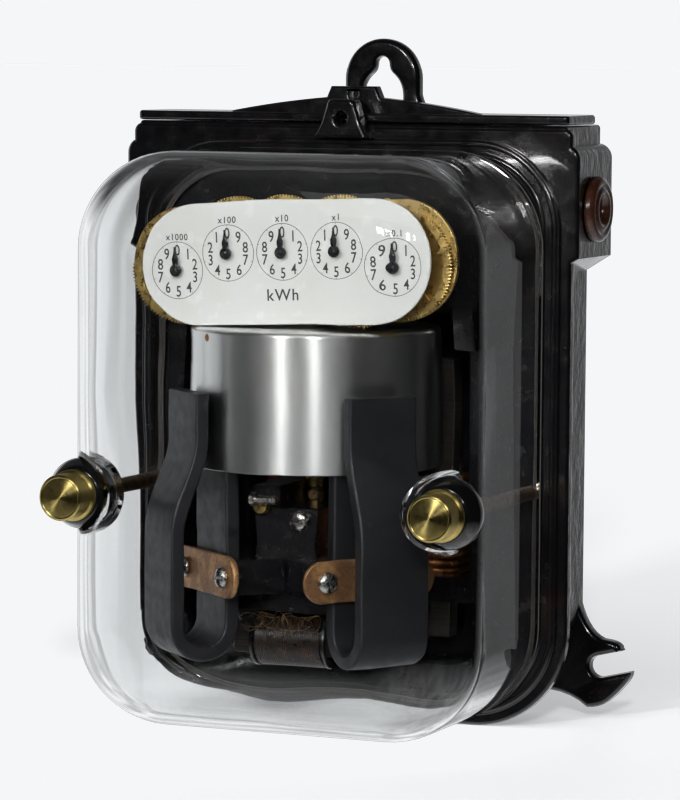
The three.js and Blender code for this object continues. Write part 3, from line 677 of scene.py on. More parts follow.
CASE = {"half_width": 77, "bottom": -106.5, "top": 103, "depth": 34, "corner": 36, "corner_top": 6}
FLANGE = {"half_width": 83.5, "bottom": -107, "top": 102, "corner": 35, "corner_top": 3, "back": -31,
          "front": -36}
BOSS = {"outer": 86.2, "bottom": 57.5, "top": 96.5, "chamfer": 5.7, "corner": 5, "back": -1, "front": -36}
LID = {"half_width": 82, "back": -7.3, "front": -35.4, "top": 106.5, "thick": 3.2, "corner": 1.5}
RIDGE = {"back": -26.5, "front": -31.5, "end": 47, "foot": 10.2, "peak": 111.9, "lug": 8.5, "top": 115.8}
WINDOW = {"half_width": 62, "bottom": -88, "top": 49, "corner": 24}
BUSHING = {"y": -20, "z": 74.1}
STUD = {"x": 67.6, "z": -23.8}


def foot_outline(side):
    """The hooked foot with its open slot, drawn for the right and mirrored for the left."""
    slot_x, slot_z, slot_radius = 85.2, -88.2, 4
    lean = 14
    along = (math.cos(math.radians(lean)), math.sin(math.radians(lean)))
    upper_length, lower_length = 9.5, 10.93

    def jaw(length, side):
        return (slot_x + along[0] * length - side * along[1] * slot_radius,
                slot_z + along[1] * length + side * along[0] * slot_radius)

    lower = jaw(lower_length, -1)
    points = [(58, -78), (76, -62)]
    points += curve_through((76, -62), (79, -76), (86, -78.5))
    points += curve_through((86, -78.5), (93, -79), (92.9, -81.6), 5)
    points.append(jaw(upper_length, 1))
    points += arc(slot_x, slot_z, slot_radius, lean + 90, lean + 270, 14)
    points.append(lower)
    points += curve_through(lower, (97.1, -92.4), (90, -99), 7)
    points += curve_through((90, -99), (86, -103), (80.6, -103), 5)
    points += curve_through((80.6, -103), (72, -96), (58, -98), 6)
    return on_side(points, side)


def loop_outlines():
    outside = [(21, 104)] + curve_through((21, 104), (15.5, 107.5), (14.3, 113), 6)
    outside += arc(0, 118.4, 14.3, 0, 180, 28)
    outside += [(-14.3, 113)] + curve_through((-14.3, 113), (-15.5, 107.5), (-21, 104), 6)
    inside = arc(0, 123.7, 2.6, 0, 180, 14)
    inside += curve_through((-2.6, 123.7), (-2.6, 121.5), (-4.8, 119.8), 6)
    inside += curve_through((-4.8, 119.8), (-8, 117), (-8, 112), 6)
    inside += [(-8, 109.3), (8, 109.3), (8, 112)]
    inside += curve_through((8, 112), (8, 117), (4.8, 119.8), 6)
    inside += curve_through((4.8, 119.8), (2.6, 121.5), (2.6, 123.7), 6)[:-1]
    return [outside, inside]


def seal_ear_outlines():
    foot, waist, top, half, corner = 10.7, 6.6, 111.5, 5.6, 2.6
    low = FLANGE["top"] - 4
    right = [(foot, low)] + curve_through((foot, low), (waist + 0.6, low + 4.5), (waist, 106), 8)
    right += arc(half - corner, top - corner, corner, 0, 90, 8)
    return [mirrored(right), arc(0, 104.8, 2.2, 0, 342, 19)]


def boss_outline(side):
    """The raised pad round a wire bushing, drawn for the right and mirrored for the left."""
    outer, corner, top = BOSS["outer"], BOSS["corner"], BOSS["top"]
    low = BOSS["bottom"] - BOSS["chamfer"]
    points = [(70, low), (CASE["half_width"], low), (outer, BOSS["bottom"])]
    points += arc(outer - corner, top - corner, corner, 0, 90, 10) + [(70, top)]
    return on_side(points, side)


def moulding(name, inset, y, radius, squash=1.0):
    """A half-round bead that runs round the flange."""
    section = [(radius * math.cos(a), radius * squash * math.sin(a))
               for a in (2 * math.pi * i / 14 for i in range(14))]
    ring = rounded(FLANGE["half_width"] - inset, FLANGE["bottom"] + inset, FLANGE["top"] - inset,
                   FLANGE["corner"] - inset, steps=20)
    path = []
    count = len(ring)
    for i, (x, z) in enumerate(ring):
        before = Vector((*ring[i - 1], 0))
        after = Vector((*ring[(i + 1) % count], 0))
        ahead = (after - before).normalized()
        outward = Vector((ahead.y, 0, -ahead.x))
        path.append((Vector((x, y, z)) * MM, outward * MM, Vector((0, -1, 0)) * MM))
    return bar(name, path, section, closed=True)


def case():
    outline = rounded(CASE["half_width"], CASE["bottom"], CASE["top"], CASE["corner"], CASE["corner_top"])
    body = plate("case", [outline], 0, -CASE["depth"], 1.2)
    outline = rounded(FLANGE["half_width"], FLANGE["bottom"], FLANGE["top"], FLANGE["corner"],
                      FLANGE["corner_top"], 20)
    flange = plate("flange", [outline], FLANGE["back"], FLANGE["front"], 1.3, 4)
    shoulder = block("shoulder", (-81.5, -35.5, 90), (81.5, -0.5, 103), 1.2, 3)
    step = plate("step", [rounded(80, -103.5, 98.5, 32, steps=20)], FLANGE["front"] + 1, -37.4, 0.5)
    beads = (moulding("rim", 5.4, -36.6, 1.4), moulding("inner", 9.6, -36.9, 1.1))
    unite(body, shoulder, flange, step, *beads)
    for side in (-1, 1):
        unite(body, plate("boss", [boss_outline(side)], BOSS["back"], BOSS["front"], 1.4))
        unite(body, plate("foot", [foot_outline(side)], 0, -6, 1.5))
    outline = rounded(WINDOW["half_width"], WINDOW["bottom"], WINDOW["top"], WINDOW["corner"])
    recess = plate("recess", [outline], -5, -60, 1.5)
    chamber = block("chamber", (-71, -30, 56), (71, -5, 120), 1.5)
    cut(body, recess, chamber)
    pad = [(0, -4), (5.4, -4), (5.2, -17.5), (4.2, -18.8), (0, -19)]
    for x, z in ((-50, -64), (50, -64), (-50, 30), (50, 30)):
        unite(body, turned("pad", pad, "Y", spot(x, z), 24))
    for side in (-1, 1):
        way = [(side * x, BUSHING["y"], BUSHING["z"]) for x in (60, 100)]
        cut(body, drill(8.3, *way))
        cut(body, drill(2.9, (side * STUD["x"], -31, STUD["z"]), (side * STUD["x"], -50, STUD["z"])))
    web = [(-40, 101), (40, 101), (38, 104), (20, 107.5), (-20, 107.5), (-38, 104)]
    unite(body, plate("web", [web], 0, -6.4, 1.2),
          plate("loop", loop_outlines(), 0, -6, 2.0, 5),
          plate("seal_ear", seal_ear_outlines(), -35.8, -43, 1.4, 4))
    piece(smooth(body), "iron_case", JAPAN, "base", "black_japan", "base_casting")


def lid():
    """The terminal chamber's cover: a thin cast sheet with a ridge along it and a lug for the seal wire."""
    half_depth = (LID["back"] - LID["front"]) / 2
    middle = (LID["back"] + LID["front"]) / 2
    outline = rounded(LID["half_width"], -half_depth, half_depth, LID["corner"], steps=6)
    sheet = plate("lid", [outline], 0, -LID["thick"], 1.0, 4, Matrix.Identity(4))
    half_thick = LID["thick"] / 2
    sheet.data.transform(Matrix.Translation((0, (middle + half_thick) * MM, (LID["top"] - half_thick) * MM)))
    end, foot, peak, lug, top = (RIDGE[key] for key in ("end", "foot", "peak", "lug", "top"))
    start = (end, LID["top"] + 0.3)
    right = [(end, LID["top"] - 1), start]
    right += curve_through(start, ((end + foot) / 2, peak - 1.6), (foot, peak), 10) + [(lug, top)]
    outlines = [mirrored(right), arc(0, 113.2, 1.9, 0, 340, 17)]
    unite(sheet, plate("ridge", outlines, RIDGE["back"], RIDGE["front"], 0.9, 3))
    piece(smooth(sheet), "chamber_lid", JAPAN, "lid", "black_japan", "terminal_lid")


def bushings():
    profile = [(3.75, 66), (8, 66), (8, 86.4), (11.1, 86.4), (11.5, 86.8), (11.5, 88.0), (11.0, 89.0),
               (10.2, 89.6), (9.2, 89.9), (8.6, 89.6), (8.0, 89.4), (7.4, 89.7), (6.8, 90.1), (5.9, 90.2),
               (5.2, 89.9), (4.6, 89.1), (3.9, 88.2), (3.75, 87)]
    for suffix, side in SIDES:
        points = [(radius, side * along) for radius, along in profile]
        bushing = turned("bushing", points, "X", (0, BUSHING["y"] * MM, BUSHING["z"] * MM), 56, closed=True)
        piece(smooth(bushing, 50), f"wire_bushing_{suffix}", FIBRE, "base", "fibre", f"bushing_{suffix}")


# ---- terminals --------------------------------------------------------------------------

TERMINAL_Y = -17.5


def terminals():
    low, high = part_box("terminal_block")
    strip = block("strip", low / MM, high / MM, 1.4, 3)
    for x in (-30, 0, 30):
        groove = block("groove", (x - 1.2, -40, 65.5), (x + 1.2, 0, 80), 0.3)
        cut(strip, groove)
    well = [(0, 64.5), (2.4, 64.5), (3.6, 66), (3.6, 70), (0, 70)]
    for x in (-55, 55):
        cut(strip, turned("well", well, "Z", (x * MM, TERMINAL_Y * MM, 0), 20))
    piece(smooth(strip), "terminal_strip", FIBRE, "base", "fibre", "terminal_block")
    post_profile = [(0, 68.3), (4.5, 68.3), (4.6, 69), (4.6, 70), (4.1, 70.6), (4.1, 71.2), (4.6, 71.8),
                    (4.6, 83), (4.1, 83.9), (0, 84)]
    head_profile = [(0, 84.3), (3.3, 84.3), (3.6, 84.6), (3.6, 86), (3.2, 86.6), (2.2, 86.95), (0, 87)]
    half_slot = 0.45
    for number, x in enumerate((-45, -15, 15, 45), 1):
        centre = (x * MM, TERMINAL_Y * MM, 0)
        post = turned("post", post_profile, "Z", centre, 32)
        cut(post, drill(1.8, (x - 10, TERMINAL_Y, BUSHING["z"]), (x + 10, TERMINAL_Y, BUSHING["z"])))
        piece(smooth(post), f"binding_post_{number}", BRASS, "base", "brass", f"terminal_post_{number}")
        head = turned("head", head_profile, "Z", centre, 32)
        ends = [(x + 5 * side, TERMINAL_Y + half_slot * side, 87 + side) for side in (-1, 1)]
        cut(head, block("slot", *ends, 0.1))
        piece(smooth(head), f"binding_screw_{number}", BRASS, "base", "brass", f"terminal_screw_{number}")


# ---- glass cover and its fastenings -----------------------------------------------------

COVER = {"half_width": 74.5, "bottom": -104.5, "top": 94, "corner": 34, "edge": 28, "front": -120,
         "rim": -39.8}


def cover_ring(inset, y, steps=14):
    """One ring of the cover, kept evenly spread so that neighbouring rings join in straight strips."""
    corner = max(COVER["corner"] - inset, 1.0)
    ring = rounded(COVER["half_width"] - inset, COVER["bottom"] + inset, COVER["top"] - inset, corner,
                   steps=steps)
    return [(x, y, z) for x, z in divided(ring, steps)]


def divided(ring, steps):
    """The ring with its four straight sides cut into short lengths."""
    points = []
    lengths = (8, 10, 8, 12)
    per_corner = steps + 1
    for corner in range(4):
        points += ring[corner * per_corner:(corner + 1) * per_corner]
        start = points[-1]
        end = ring[((corner + 1) * per_corner) % len(ring)]
        pieces = lengths[corner]
        for i in range(1, pieces):
            points.append(tuple(a + (b - a) * i / pieces for a, b in zip(start, end)))
    return points


def cover_rings(wall, face, back):
    """Rings from the rim to the middle of the slightly domed front."""
    edge = COVER["edge"] - wall
    dome = 0.9
    front = COVER["front"] + face + dome
    rings = [cover_ring(wall, y) for y in (back, back - 1.2, back - 12, back - 26, front + edge + 6)]
    turns = 18
    for i in range(turns + 1):
        a = math.pi / 2 * i / turns
        rings.append(cover_ring(wall + edge * (1 - math.cos(a)), front + edge * (1 - math.sin(a))))
    last = rings[-1]
    middle_z = (COVER["bottom"] + COVER["top"]) / 2
    for share in (0.86, 0.7, 0.52, 0.34, 0.17, 0.0):
        y = front - dome * (1 - share * share)
        rings.append([(x * share, y, middle_z + (z - middle_z) * share) for x, _, z in last])
    return rings


def skin(name, rings):
    count = len(rings[0])
    points = [tuple(v * MM for v in point) for ring in rings for point in ring]
    faces = grid_faces(len(rings), count)
    faces.append(tuple(range(count)))
    return from_points(name, points, faces)


def glass_cover():
    """The pressed shell, with a seat moulded inside each front edge and a pocket for the ferrule."""
    rim = COVER["rim"]
    shell = skin("shell", cover_rings(0, 0, rim))
    hollow = skin("hollow", cover_rings(3.6, 5, rim + 5))
    displace(hollow, 0.0006, 0.026, 3)
    cut(shell, hollow)
    seat_profile = [(0, -100.6), (12, -100.6), (13.6, -101.8), (14.4, -104), (14.4, -121), (0, -121)]
    pocket_profile = [(0, -105.5), (12.0, -105.5), (12.8, -106.3), (12.8, -112), (13.4, -125), (0, -125)]
    for _, side in SIDES:
        whole = skin("whole", cover_rings(0, 0, rim))
        seat = turned("seat", seat_profile, "Y", spot(side * STUD["x"], STUD["z"]), 56)
        unite(shell, boolean(seat, whole, "INTERSECT"))
    for _, side in SIDES:
        x = side * STUD["x"]
        pocket = turned("pocket", pocket_profile, "Y", spot(x, STUD["z"]), 56)
        cut(shell, pocket, drill(3.3, (x, -60, STUD["z"]), (x, -120, STUD["z"]), 32))
    cover = piece(smooth(shell, 50), "glass_dome", GLASS, "cover", "clear_glass", "glass_cover")
    cover.visible_shadow = False


def gasket():
    outer = rounded(COVER["half_width"], COVER["bottom"], COVER["top"], COVER["corner"])
    inner = rounded(COVER["half_width"] - 5, COVER["bottom"] + 5, COVER["top"] - 5, COVER["corner"] - 5)
    rings = plate("gasket", [outer, inner], -38.3, -39.5, 0.35, 3)
    for side in (-1, 1):
        x = side * STUD["x"]
        cut(rings, drill(2.9, (x, -30, STUD["z"]), (x, -50, STUD["z"])))
    piece(smooth(rings), "felt_gasket", FELT, "base", "felt", "gasket")


def stud_profile():
    """The long stud, with its thread from the ferrule outward."""
    rod = [(0, -31.5), (2.3, -31.5), (2.6, -31.9), (2.6, -96)]
    pitch = 0.7
    turn = -97.0
    while turn > -121.5:
        rod += [(2.6, turn), (2.3, turn - pitch / 2), (2.6, turn - pitch)]
        turn -= pitch
    return rod + [(2.2, -122.6), (1.8, -123), (0, -123)]


def fastenings():
    cone = [(3.1, -105.8), (11.8, -105.8), (12.2, -106.2), (12.2, -108.6), (12.0, -109.6), (11.6, -110.6),
            (11.0, -111.8), (10.4, -112.9), (9.9, -113.6), (9.3, -114.1), (8.9, -114.2), (3.1, -114.2)]
    nut = [(2.9, -114.6), (8.5, -114.6), (8.85, -114.95), (8.85, -116.0), (8.6, -116.5), (8.1, -116.75),
           (7.75, -117.1), (7.75, -117.5), (7.9, -117.8), (7.9, -124.3), (7.7, -124.75), (7.3, -125.0),
           (6.95, -125.0), (6.8, -124.85), (6.65, -124.85), (6.5, -125.0), (4, -125.15), (0.5, -125.25),
           (0.3, -125.55), (0, -125.6), (0, -123.4), (2.9, -123.4)]
    for suffix, side in SIDES:
        centre = spot(side * STUD["x"], STUD["z"])
        piece(smooth(turned("rod", stud_profile(), "Y", centre, 28)), f"long_stud_{suffix}", BRONZE, "base",
              "bronze", f"stud_{suffix}")
        piece(smooth(turned("cone", cone, "Y", centre, 56, closed=True), 45), f"cover_ferrule_{suffix}",
              GLOSS, "cover", "black_japan", f"ferrule_{suffix}")
        piece(smooth(turned("nut", nut, "Y", centre, 64, closed=True), 50), f"cover_nut_cap_{suffix}",
              BRIGHT_BRASS, f"cover_nut_{suffix}", "polished_brass", f"nut_{suffix}")


# ---- rotor ------------------------------------------------------------------------------

def rotor():
    centre = (DRUM_AXIS.x, DRUM_AXIS.y, 0)
    cup = [(1.8, 30.6), (9.2, 30.6), (10, 31), (11.6, 32.2), (41.4, 32.2), (41.8, 31.8), (41.8, -14.1),
           (42.1, -14.4), (42.7, -14.4), (43, -14.1), (43, 31.9), (42.85, 32.6), (42.4, 33.2),
           (41.6, 33.55), (41, 33.6), (34, 33.6), (33.4, 33.3), (32.6, 33.3), (32, 33.6), (13, 33.6),
           (12, 33.2), (5.2, 33.2), (4.6, 33.6), (1.8, 33.6)]
    drum = turned("cup", cup, "Z", centre, 128, closed=True)
    piece(smooth(drum, 50), "drum", DRUM, "rotor", "aluminium", "rotor_cup")

    turn = math.radians(-35)
    outward = Vector((math.sin(turn), -math.cos(turn), 0))
    rivet = turned("rivet", [(0, -0.4), (1.3, -0.4), (1.4, -0.1), (1.2, 0.2), (0.6, 0.32), (0, 0.35)], "Y",
                   (0, 0, 0), 20)
    rivet.data.transform(Matrix.Translation(DRUM_AXIS + outward * 43 * MM + Vector((0, 0, 30.6 * MM)))
                         @ Matrix.Rotation(turn, 4, "Z") @ Matrix.Scale(-1, 4, (0, 1, 0)))
    rivet.data.flip_normals()
    piece(smooth(rivet), "balance_rivet", STRAP, "rotor", "strap_copper")

    shaft = [(0, -14), (0.35, -14), (1.2, -12.9), (1.5, -12.3), (1.5, 27), (2.6, 27.4), (2.6, 30.2),
             (1.5, 30.5), (1.5, 40.6), (1.62, 41), (1.62, 51), (1.5, 51.2), (1.1, 51.4), (0.6, 52.3),
             (0, 52.5)]
    shaft = turned("shaft", shaft, "Z", centre, 24)
    pitch, turns, per_turn = 0.958, 9.4, 20
    worm_radius, worm_start = 1.66, 41.5
    thread = []
    for i in range(int(turns * per_turn)):
        a = 2 * math.pi * i / per_turn
        offset = (worm_radius * math.cos(a), worm_radius * math.sin(a), worm_start + pitch * i / per_turn)
        thread.append(DRUM_AXIS + Vector(offset) * MM)
    worm = wire("worm", thread, 0.32 * MM, 6)
    piece(smooth(gather("shaft", shaft, worm)), "worm_shaft", STEEL, "rotor", "steel", "rotor_shaft")


def bearings():
    centre = (DRUM_AXIS.x, DRUM_AXIS.y, 0)
    lower = [(0, -36), (3, -36), (3, -24.4), (2.6, -24), (2.6, -22.6), (3, -22.2), (3, -18.4), (2.5, -17.9),
             (2.5, -15.6), (2.1, -14.6), (0.9, -14.3), (0, -14.7)]
    piece(smooth(turned("lower", lower, "Z", centre, 32)), "jewel_screw_lower", BRASS, "base", "brass",
          "lower_bearing")
    upper = [(0, 53.1), (0.7, 52.8), (1.5, 53.3), (1.8, 53.8), (1.8, 60.8), (1.6, 61), (1.2, 61.2),
             (1.2, 61.6), (1.6, 61.8), (1.2, 62), (0, 62)]
    piece(smooth(turned("upper", upper, "Z", centre, 28)), "guide_pin_upper", BRASS, "base", "brass",
          "upper_bearing")


# ---- drag magnets, straps and screws ----------------------------------------------------

def sector_turn(node):
    """The angle that a piece is set round the drum, from where its box lies."""
    low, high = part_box(node)
    offset = (low + high) / 2 - DRUM_AXIS
    return math.atan2(offset.x, -offset.y)


def set_round(obj, angle):
    centre = Matrix.Translation((DRUM_AXIS.x, DRUM_AXIS.y, 0))
    obj.data.transform(centre @ Matrix.Rotation(angle, 4, "Z"))
    return obj


MAGNET_BAR = {"width": 25, "thick": 5, "gap": 44.6, "bulge": 53.5, "inner": 38.5, "top": 12.3, "foot": -67}


def magnet_line():
    """The bar's middle line: distance from the drum's axis and height, from one pole to the other."""
    half = MAGNET_BAR["thick"] / 2
    near = MAGNET_BAR["gap"] + half
    far = MAGNET_BAR["bulge"] + half
    inside = MAGNET_BAR["inner"] - half
    bend = (far - inside) / 2
    line = [(near, MAGNET_BAR["top"]), (near, 8), (near, 2), (near, -4)]
    for i in range(1, 21):
        part = i / 20
        line.append((near + (far - near) * part * part * (3 - 2 * part), -4 - 32 * part))
    line += [(far, -46), (far, -57)]
    foot = MAGNET_BAR["foot"]
    line += [(inside + bend + bend * math.cos(a), foot - bend * math.sin(a))
             for a in (math.pi * i / 24 for i in range(25))]
    line += [(inside, z) for z in (-50, -30, -12, 8)]
    return line


def magnets():
    half_width = MAGNET_BAR["width"] / 2
    half_thick = MAGNET_BAR["thick"] / 2
    section = rounded(half_width, -half_thick, half_thick, 0.9, steps=4)
    line = magnet_line()
    for suffix in ("left", "right"):
        path = []
        for i, (r, z) in enumerate(line):
            r0, z0 = line[max(i - 1, 0)]
            r1, z1 = line[min(i + 1, len(line) - 1)]
            length = math.hypot(r1 - r0, z1 - z0)
            out = Vector((0, (z1 - z0) / length, (r1 - r0) / length))
            path.append((Vector((0, -r, z)) * MM, Vector((MM, 0, 0)), out * MM))
        magnet = bar("magnet", path, section)
        magnet = bevel(magnet, 0.6 * MM, 2, 60)
        displace(magnet, 0.00025, 0.012, 5)
        set_round(magnet, sector_turn(f"magnet_{suffix}"))
        piece(smooth(magnet), f"drag_magnet_{suffix}", MAGNET, "base", "magnet_steel", f"magnet_{suffix}")


def slotted_head(radius, height, neck, depth, slot_turn=0.0, steps=32):
    """A domed screw head facing -y with its seat at y = 0, in millimetres."""
    profile = [(0, depth), (neck, depth), (neck, 0.05), (radius * 0.96, 0), (radius, -height * 0.15),
               (radius * 0.97, -height * 0.42), (radius * 0.84, -height * 0.72),
               (radius * 0.6, -height * 0.9), (radius * 0.3, -height * 0.98), (0, -height)]
    screw = turned("screw", profile, "Y", (0, 0, 0), steps)
    slot = block("slot", (-radius * 1.3, -height * 1.5, -0.42), (radius * 1.3, -height * 0.48, 0.42), 0.08)
    slot.data.transform(Matrix.Rotation(slot_turn, 4, "Y"))
    return cut(screw, slot)


def straps():
    height, middle, face, reach = 14.5, -50.3, -38.8, 24.5
    screw_x = 16.2
    for suffix, slot_turns in (("left", (0.5, -0.2)), ("right", (1.25, 0.7))):
        angle = sector_turn(f"strap_{suffix}")
        outline = rounded(reach, middle - height / 2, middle + height / 2, height / 2 - 0.1, steps=12)
        holes = [arc(side * screw_x, middle, 1.9, 0, 340, 17) for side in (-1, 1)]
        strap = plate("strap", [outline, *holes], face, face - 2, 0.6, 3)
        subdivide(strap, 0.0025)
        displace(strap, 0.00035, 0.006, 2)
        set_round(strap, angle)
        piece(smooth(strap), f"copper_strap_{suffix}", STRAP, "base", "strap_copper", f"strap_{suffix}")
        for number, side, slot_turn in ((1, -1, slot_turns[0]), (2, 1, slot_turns[1])):
            screw = slotted_head(3.7, 2.6, 1.5, 8, slot_turn)
            screw.data.transform(Matrix.Translation((side * screw_x * MM, (face - 2.3) * MM, middle * MM)))
            set_round(screw, angle)
            piece(smooth(screw), f"strap_bolt_{suffix}_{number}", STEEL, "base", "steel",
                  f"strap_screw_{suffix}_{number}")


def subdivide(obj, longest):
    """Cuts long edges so that the surface can be waved."""
    work = bmesh.new()
    work.from_mesh(obj.data)
    for _ in range(4):
        long_edges = [edge for edge in work.edges if edge.calc_length() > longest]
        if not long_edges:
            break
        bmesh.ops.subdivide_edges(work, edges=long_edges, cuts=1)
        bmesh.ops.triangulate(work, faces=[face for face in work.faces if len(face.verts) > 4])
    work.to_mesh(obj.data)
    work.free()
    return obj


# ---- frame of the works, small fittings, electromagnet ----------------------------------

def works_frame():
    body = softened("main_frame", 0.9, 3)
    piece(smooth(body, 38), "works_frame", WORKS_BLACK, "base", "black_japan", "main_frame")


def threaded(name, radius, start, end, pitch, axis, centre, steps=20):
    """A rod with fine ridges cut round it, in millimetres along the axis."""
    direction = 1 if end > start else -1
    profile = [(0, start), (radius * 0.8, start)]
    at = start + direction * pitch / 2
    while (end - at) * direction > pitch:
        profile += [(radius, at), (radius * 0.8, at + direction * pitch / 2)]
        at += direction * pitch
    profile += [(radius * 0.8, end), (0, end)]
    return turned(name, profile, axis, centre, steps)


def fittings():
    post = [(0, -80.4), (1.8, -80.4), (1.8, -86), (2.2, -86.3), (3.0, -86.5), (3.0, -89.2), (2.6, -89.8),
            (1.6, -90), (0, -90)]
    piece(smooth(turned("post", post, "Y", spot(-8, -26.4), 28)), "adjuster_pillar", BRASS, "base", "brass",
          "adjuster_post")
    line = (0, -93 * MM, -24 * MM)
    rod = threaded("rod", 1.5, -0.2, -8.1, 0.7, "X", line)
    knob = turned("knob", [(0, -8), (2.2, -8), (2.6, -8.4), (2.6, -9.6), (2.2, -10), (0, -10)], "X", line, 24)
    cut(knob, block("slot", (-11.2, -96, -24.4), (-9.5, -90, -23.6), 0.05))
    piece(smooth(gather("adjuster", rod, knob)), "adjuster_thread", STEEL, "base", "steel", "adjuster_screw")
    screw = slotted_head(3.6, 2.3, 1.6, 5.9, -0.25)
    screw.data.transform(Matrix.Translation((5.5 * MM, -86.3 * MM, -31.5 * MM)))
    piece(smooth(screw), "pedestal_bolt", STEEL, "base", "steel", "pedestal_screw")
    finger = block("finger", (8.5, -84.2, -27.6), (10.7, -82, -22.4), 0.5, 3)
    tip = turned("tip", [(0, -81.6), (1.7, -81.6), (2, -82), (2, -85), (1.5, -85.5), (0, -85.6)], "Y",
                 spot(9.6, -22.6), 20)
    piece(smooth(unite(finger, tip)), "brass_finger", BRONZE, "base", "bronze")
    small = slotted_head(2.6, 1.8, 1.4, 3, 0.9)
    small.data.transform(Matrix.Translation((18.6 * MM, -80.1 * MM, -74.6 * MM)))
    piece(smooth(small), "core_bolt", BRASS, "base", "brass")


def helix(axis_point, across, over, along, radius, pitch, turns, per_turn=36):
    steps = int(turns * per_turn)
    points = []
    for i in range(steps + 1):
        a = 2 * math.pi * i / per_turn
        points.append(axis_point + (across * math.cos(a) + over * math.sin(a)) * radius
                      + along * (pitch * i / per_turn))
    return points


def loose_wire(number):
    """One of the thin wires that have sprung out over the coil at the bottom."""
    chance = noise.noise_vector(Vector((number * 5.1, 2.3, 0.7)))
    middle_x = -13 + 2.9 * number + 2 * chance.x
    lift = 1.8 + 2.4 * abs(chance.y)
    spread = 3.0 + 3.5 * abs(chance.z)
    lean = 1.2 * chance.y
    points = []
    for i in range(29):
        a = math.pi * 2.2 * i / 28 + number
        wave = noise.noise_vector(Vector((number * 3.7, i * 0.16, 0.4)))
        point = (middle_x + spread * math.cos(a + lean), -87.2 + 1.2 * math.sin(a) + 0.9 * wave.y,
                 -66.8 + lift * math.sin(a) + 1.5 * wave.z)
        points.append(Vector(point) * MM)
    return points


def electromagnet():
    piece(smooth(softened("electromagnet_core", 0.5, 2)), "iron_core", IRON, "base", "core_iron",
          "electromagnet_core")
    low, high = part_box("potential_coil")
    middle = (low + high) / 2
    centre = (0, middle.y, middle.z)
    flanged = [(7.9, -14), (9.9, -14), (10, -13.7), (10, -13), (9.6, -12.7), (8.9, -12.6), (8.9, 12.6),
               (9.6, 12.7), (10, 13), (10, 13.7), (9.9, 14), (7.9, 14)]
    former = turned("former", flanged, "X", centre, 48, closed=True)
    x_axis, y_axis, z_axis = Vector((1, 0, 0)), Vector((0, 1, 0)), Vector((0, 0, 1))
    start = Vector((-12.2 * MM, middle.y, middle.z))
    turns = helix(start, y_axis, z_axis, x_axis, 9.3 * MM, 0.78 * MM, 31)
    winding = wire("winding", turns, 0.39 * MM, 6)
    piece(smooth(winding, 60), "pressure_coil_wire", SHELLAC, "base", "winding", "potential_coil")
    loose = [wire("loose", loose_wire(number), 0.16 * MM, 6) for number in range(9)]
    piece(smooth(gather("loose", *loose), 60), "loose_coil_wires", BRONZE, "base", "winding")
    piece(smooth(former), "pressure_coil_former", WORKS_BLACK, "base", "fibre")
    count = 12
    for suffix, _ in SIDES:
        low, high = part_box(f"current_coil_{suffix}")
        middle = (low + high) / 2
        half_x = (high.x - low.x) / 2 / MM - 1.3
        half_y = (high.y - low.y) / 2 / MM - 1.3
        gap = (high.z - low.z) / count
        ring = rounded(half_x, -half_y, half_y, 3.0, steps=6)
        loops = []
        for row in range(count):
            z = low.z + gap * (row + 0.5)
            line = [Vector((middle.x + x * MM, middle.y + y * MM, z)) for x, y in ring]
            loops.append(wire("loop", line, gap * 0.47, 8, closed=True))
        piece(smooth(gather("coil", *loops), 60), f"series_coil_{suffix}", COPPER, "base", "winding",
              f"current_coil_{suffix}")


# ---- register ---------------------------------------------------------------------------

DIAL_BACK, DIAL_FRONT = -85.6, -86.8
BRASS_BACK, BRASS_FRONT = -76.5, -78.5
LAYER_A, LAYER_B, LAYER_C, LAYER_REAR = -79.8, -81.6, -83.4, -73.5
WHEEL_LAYERS = {"thousands": LAYER_B, "hundreds": LAYER_A, "tens": LAYER_C, "ones": LAYER_B,
                "tenths": LAYER_A}
PINION_LAYERS = {"hundreds": LAYER_B, "tens": LAYER_A, "ones": LAYER_C, "tenths": LAYER_B}
WHEEL_TEETH, PINION_TEETH = 100, 10
TOOTH = 0.369                    # module: pitch diameter over the number of teeth


def level_dials():
    return {name: level_point(centre) for name, centre in DIAL_CENTRES.items()}


def toothed(teeth, centre, tooth, turn=0.0):
    """An outline with one tooth, given as (share of a step, radius) pairs, repeated round a centre."""
    points = []
    for i in range(teeth):
        for share, radius in tooth:
            a = turn + 2 * math.pi / teeth * i + 2 * math.pi / teeth * share
            points.append((centre[0] + radius * math.cos(a), centre[1] + radius * math.sin(a)))
    return points


def gear_outline(teeth, centre, turn=0.0):
    pitch = teeth * TOOTH / 2
    tip, root = pitch + 0.33, pitch - 0.42
    tooth = ((-0.30, root), (-0.24, pitch), (-0.12, tip), (0.12, tip), (0.24, pitch), (0.30, root))
    return toothed(teeth, centre, tooth, turn)


def small_wheel_outline(teeth, root, tip, centre):
    return toothed(teeth, centre, ((-0.28, root), (-0.14, tip), (0.14, tip), (0.28, root)))


def spoke_holes(centre, inner, outer, half_spoke, count, turn):
    holes = []
    for i in range(count):
        start = turn + 360 * i / count
        near = math.degrees(math.asin(half_spoke / inner))
        far = math.degrees(math.asin(half_spoke / outer))
        end = start + 360 / count
        rim = arc(*centre, outer, start + far, end - far, 14)
        holes.append(rim + arc(*centre, inner, end - near, start + near, 5))
    return holes


def hand_outline(x, z):
    """A needle with a drop-shaped belly and a round hub."""
    hub, shoulder = 2.1, 65
    right = [(0.28, 8)] + curve_through((0.28, 8), (0.3, 5.6), (1.15, 4), 8)
    joint = (hub * math.cos(math.radians(shoulder)), hub * math.sin(math.radians(shoulder)))
    right += curve_through((1.15, 4), (1.15, 3), joint, 7)[:-1]
    left = [(-px, pz) for px, pz in right[::-1]]
    points = right + arc(0, 0, hub, shoulder, -180 - shoulder, 26) + left
    return [(x + px, z + pz) for px, pz in points]


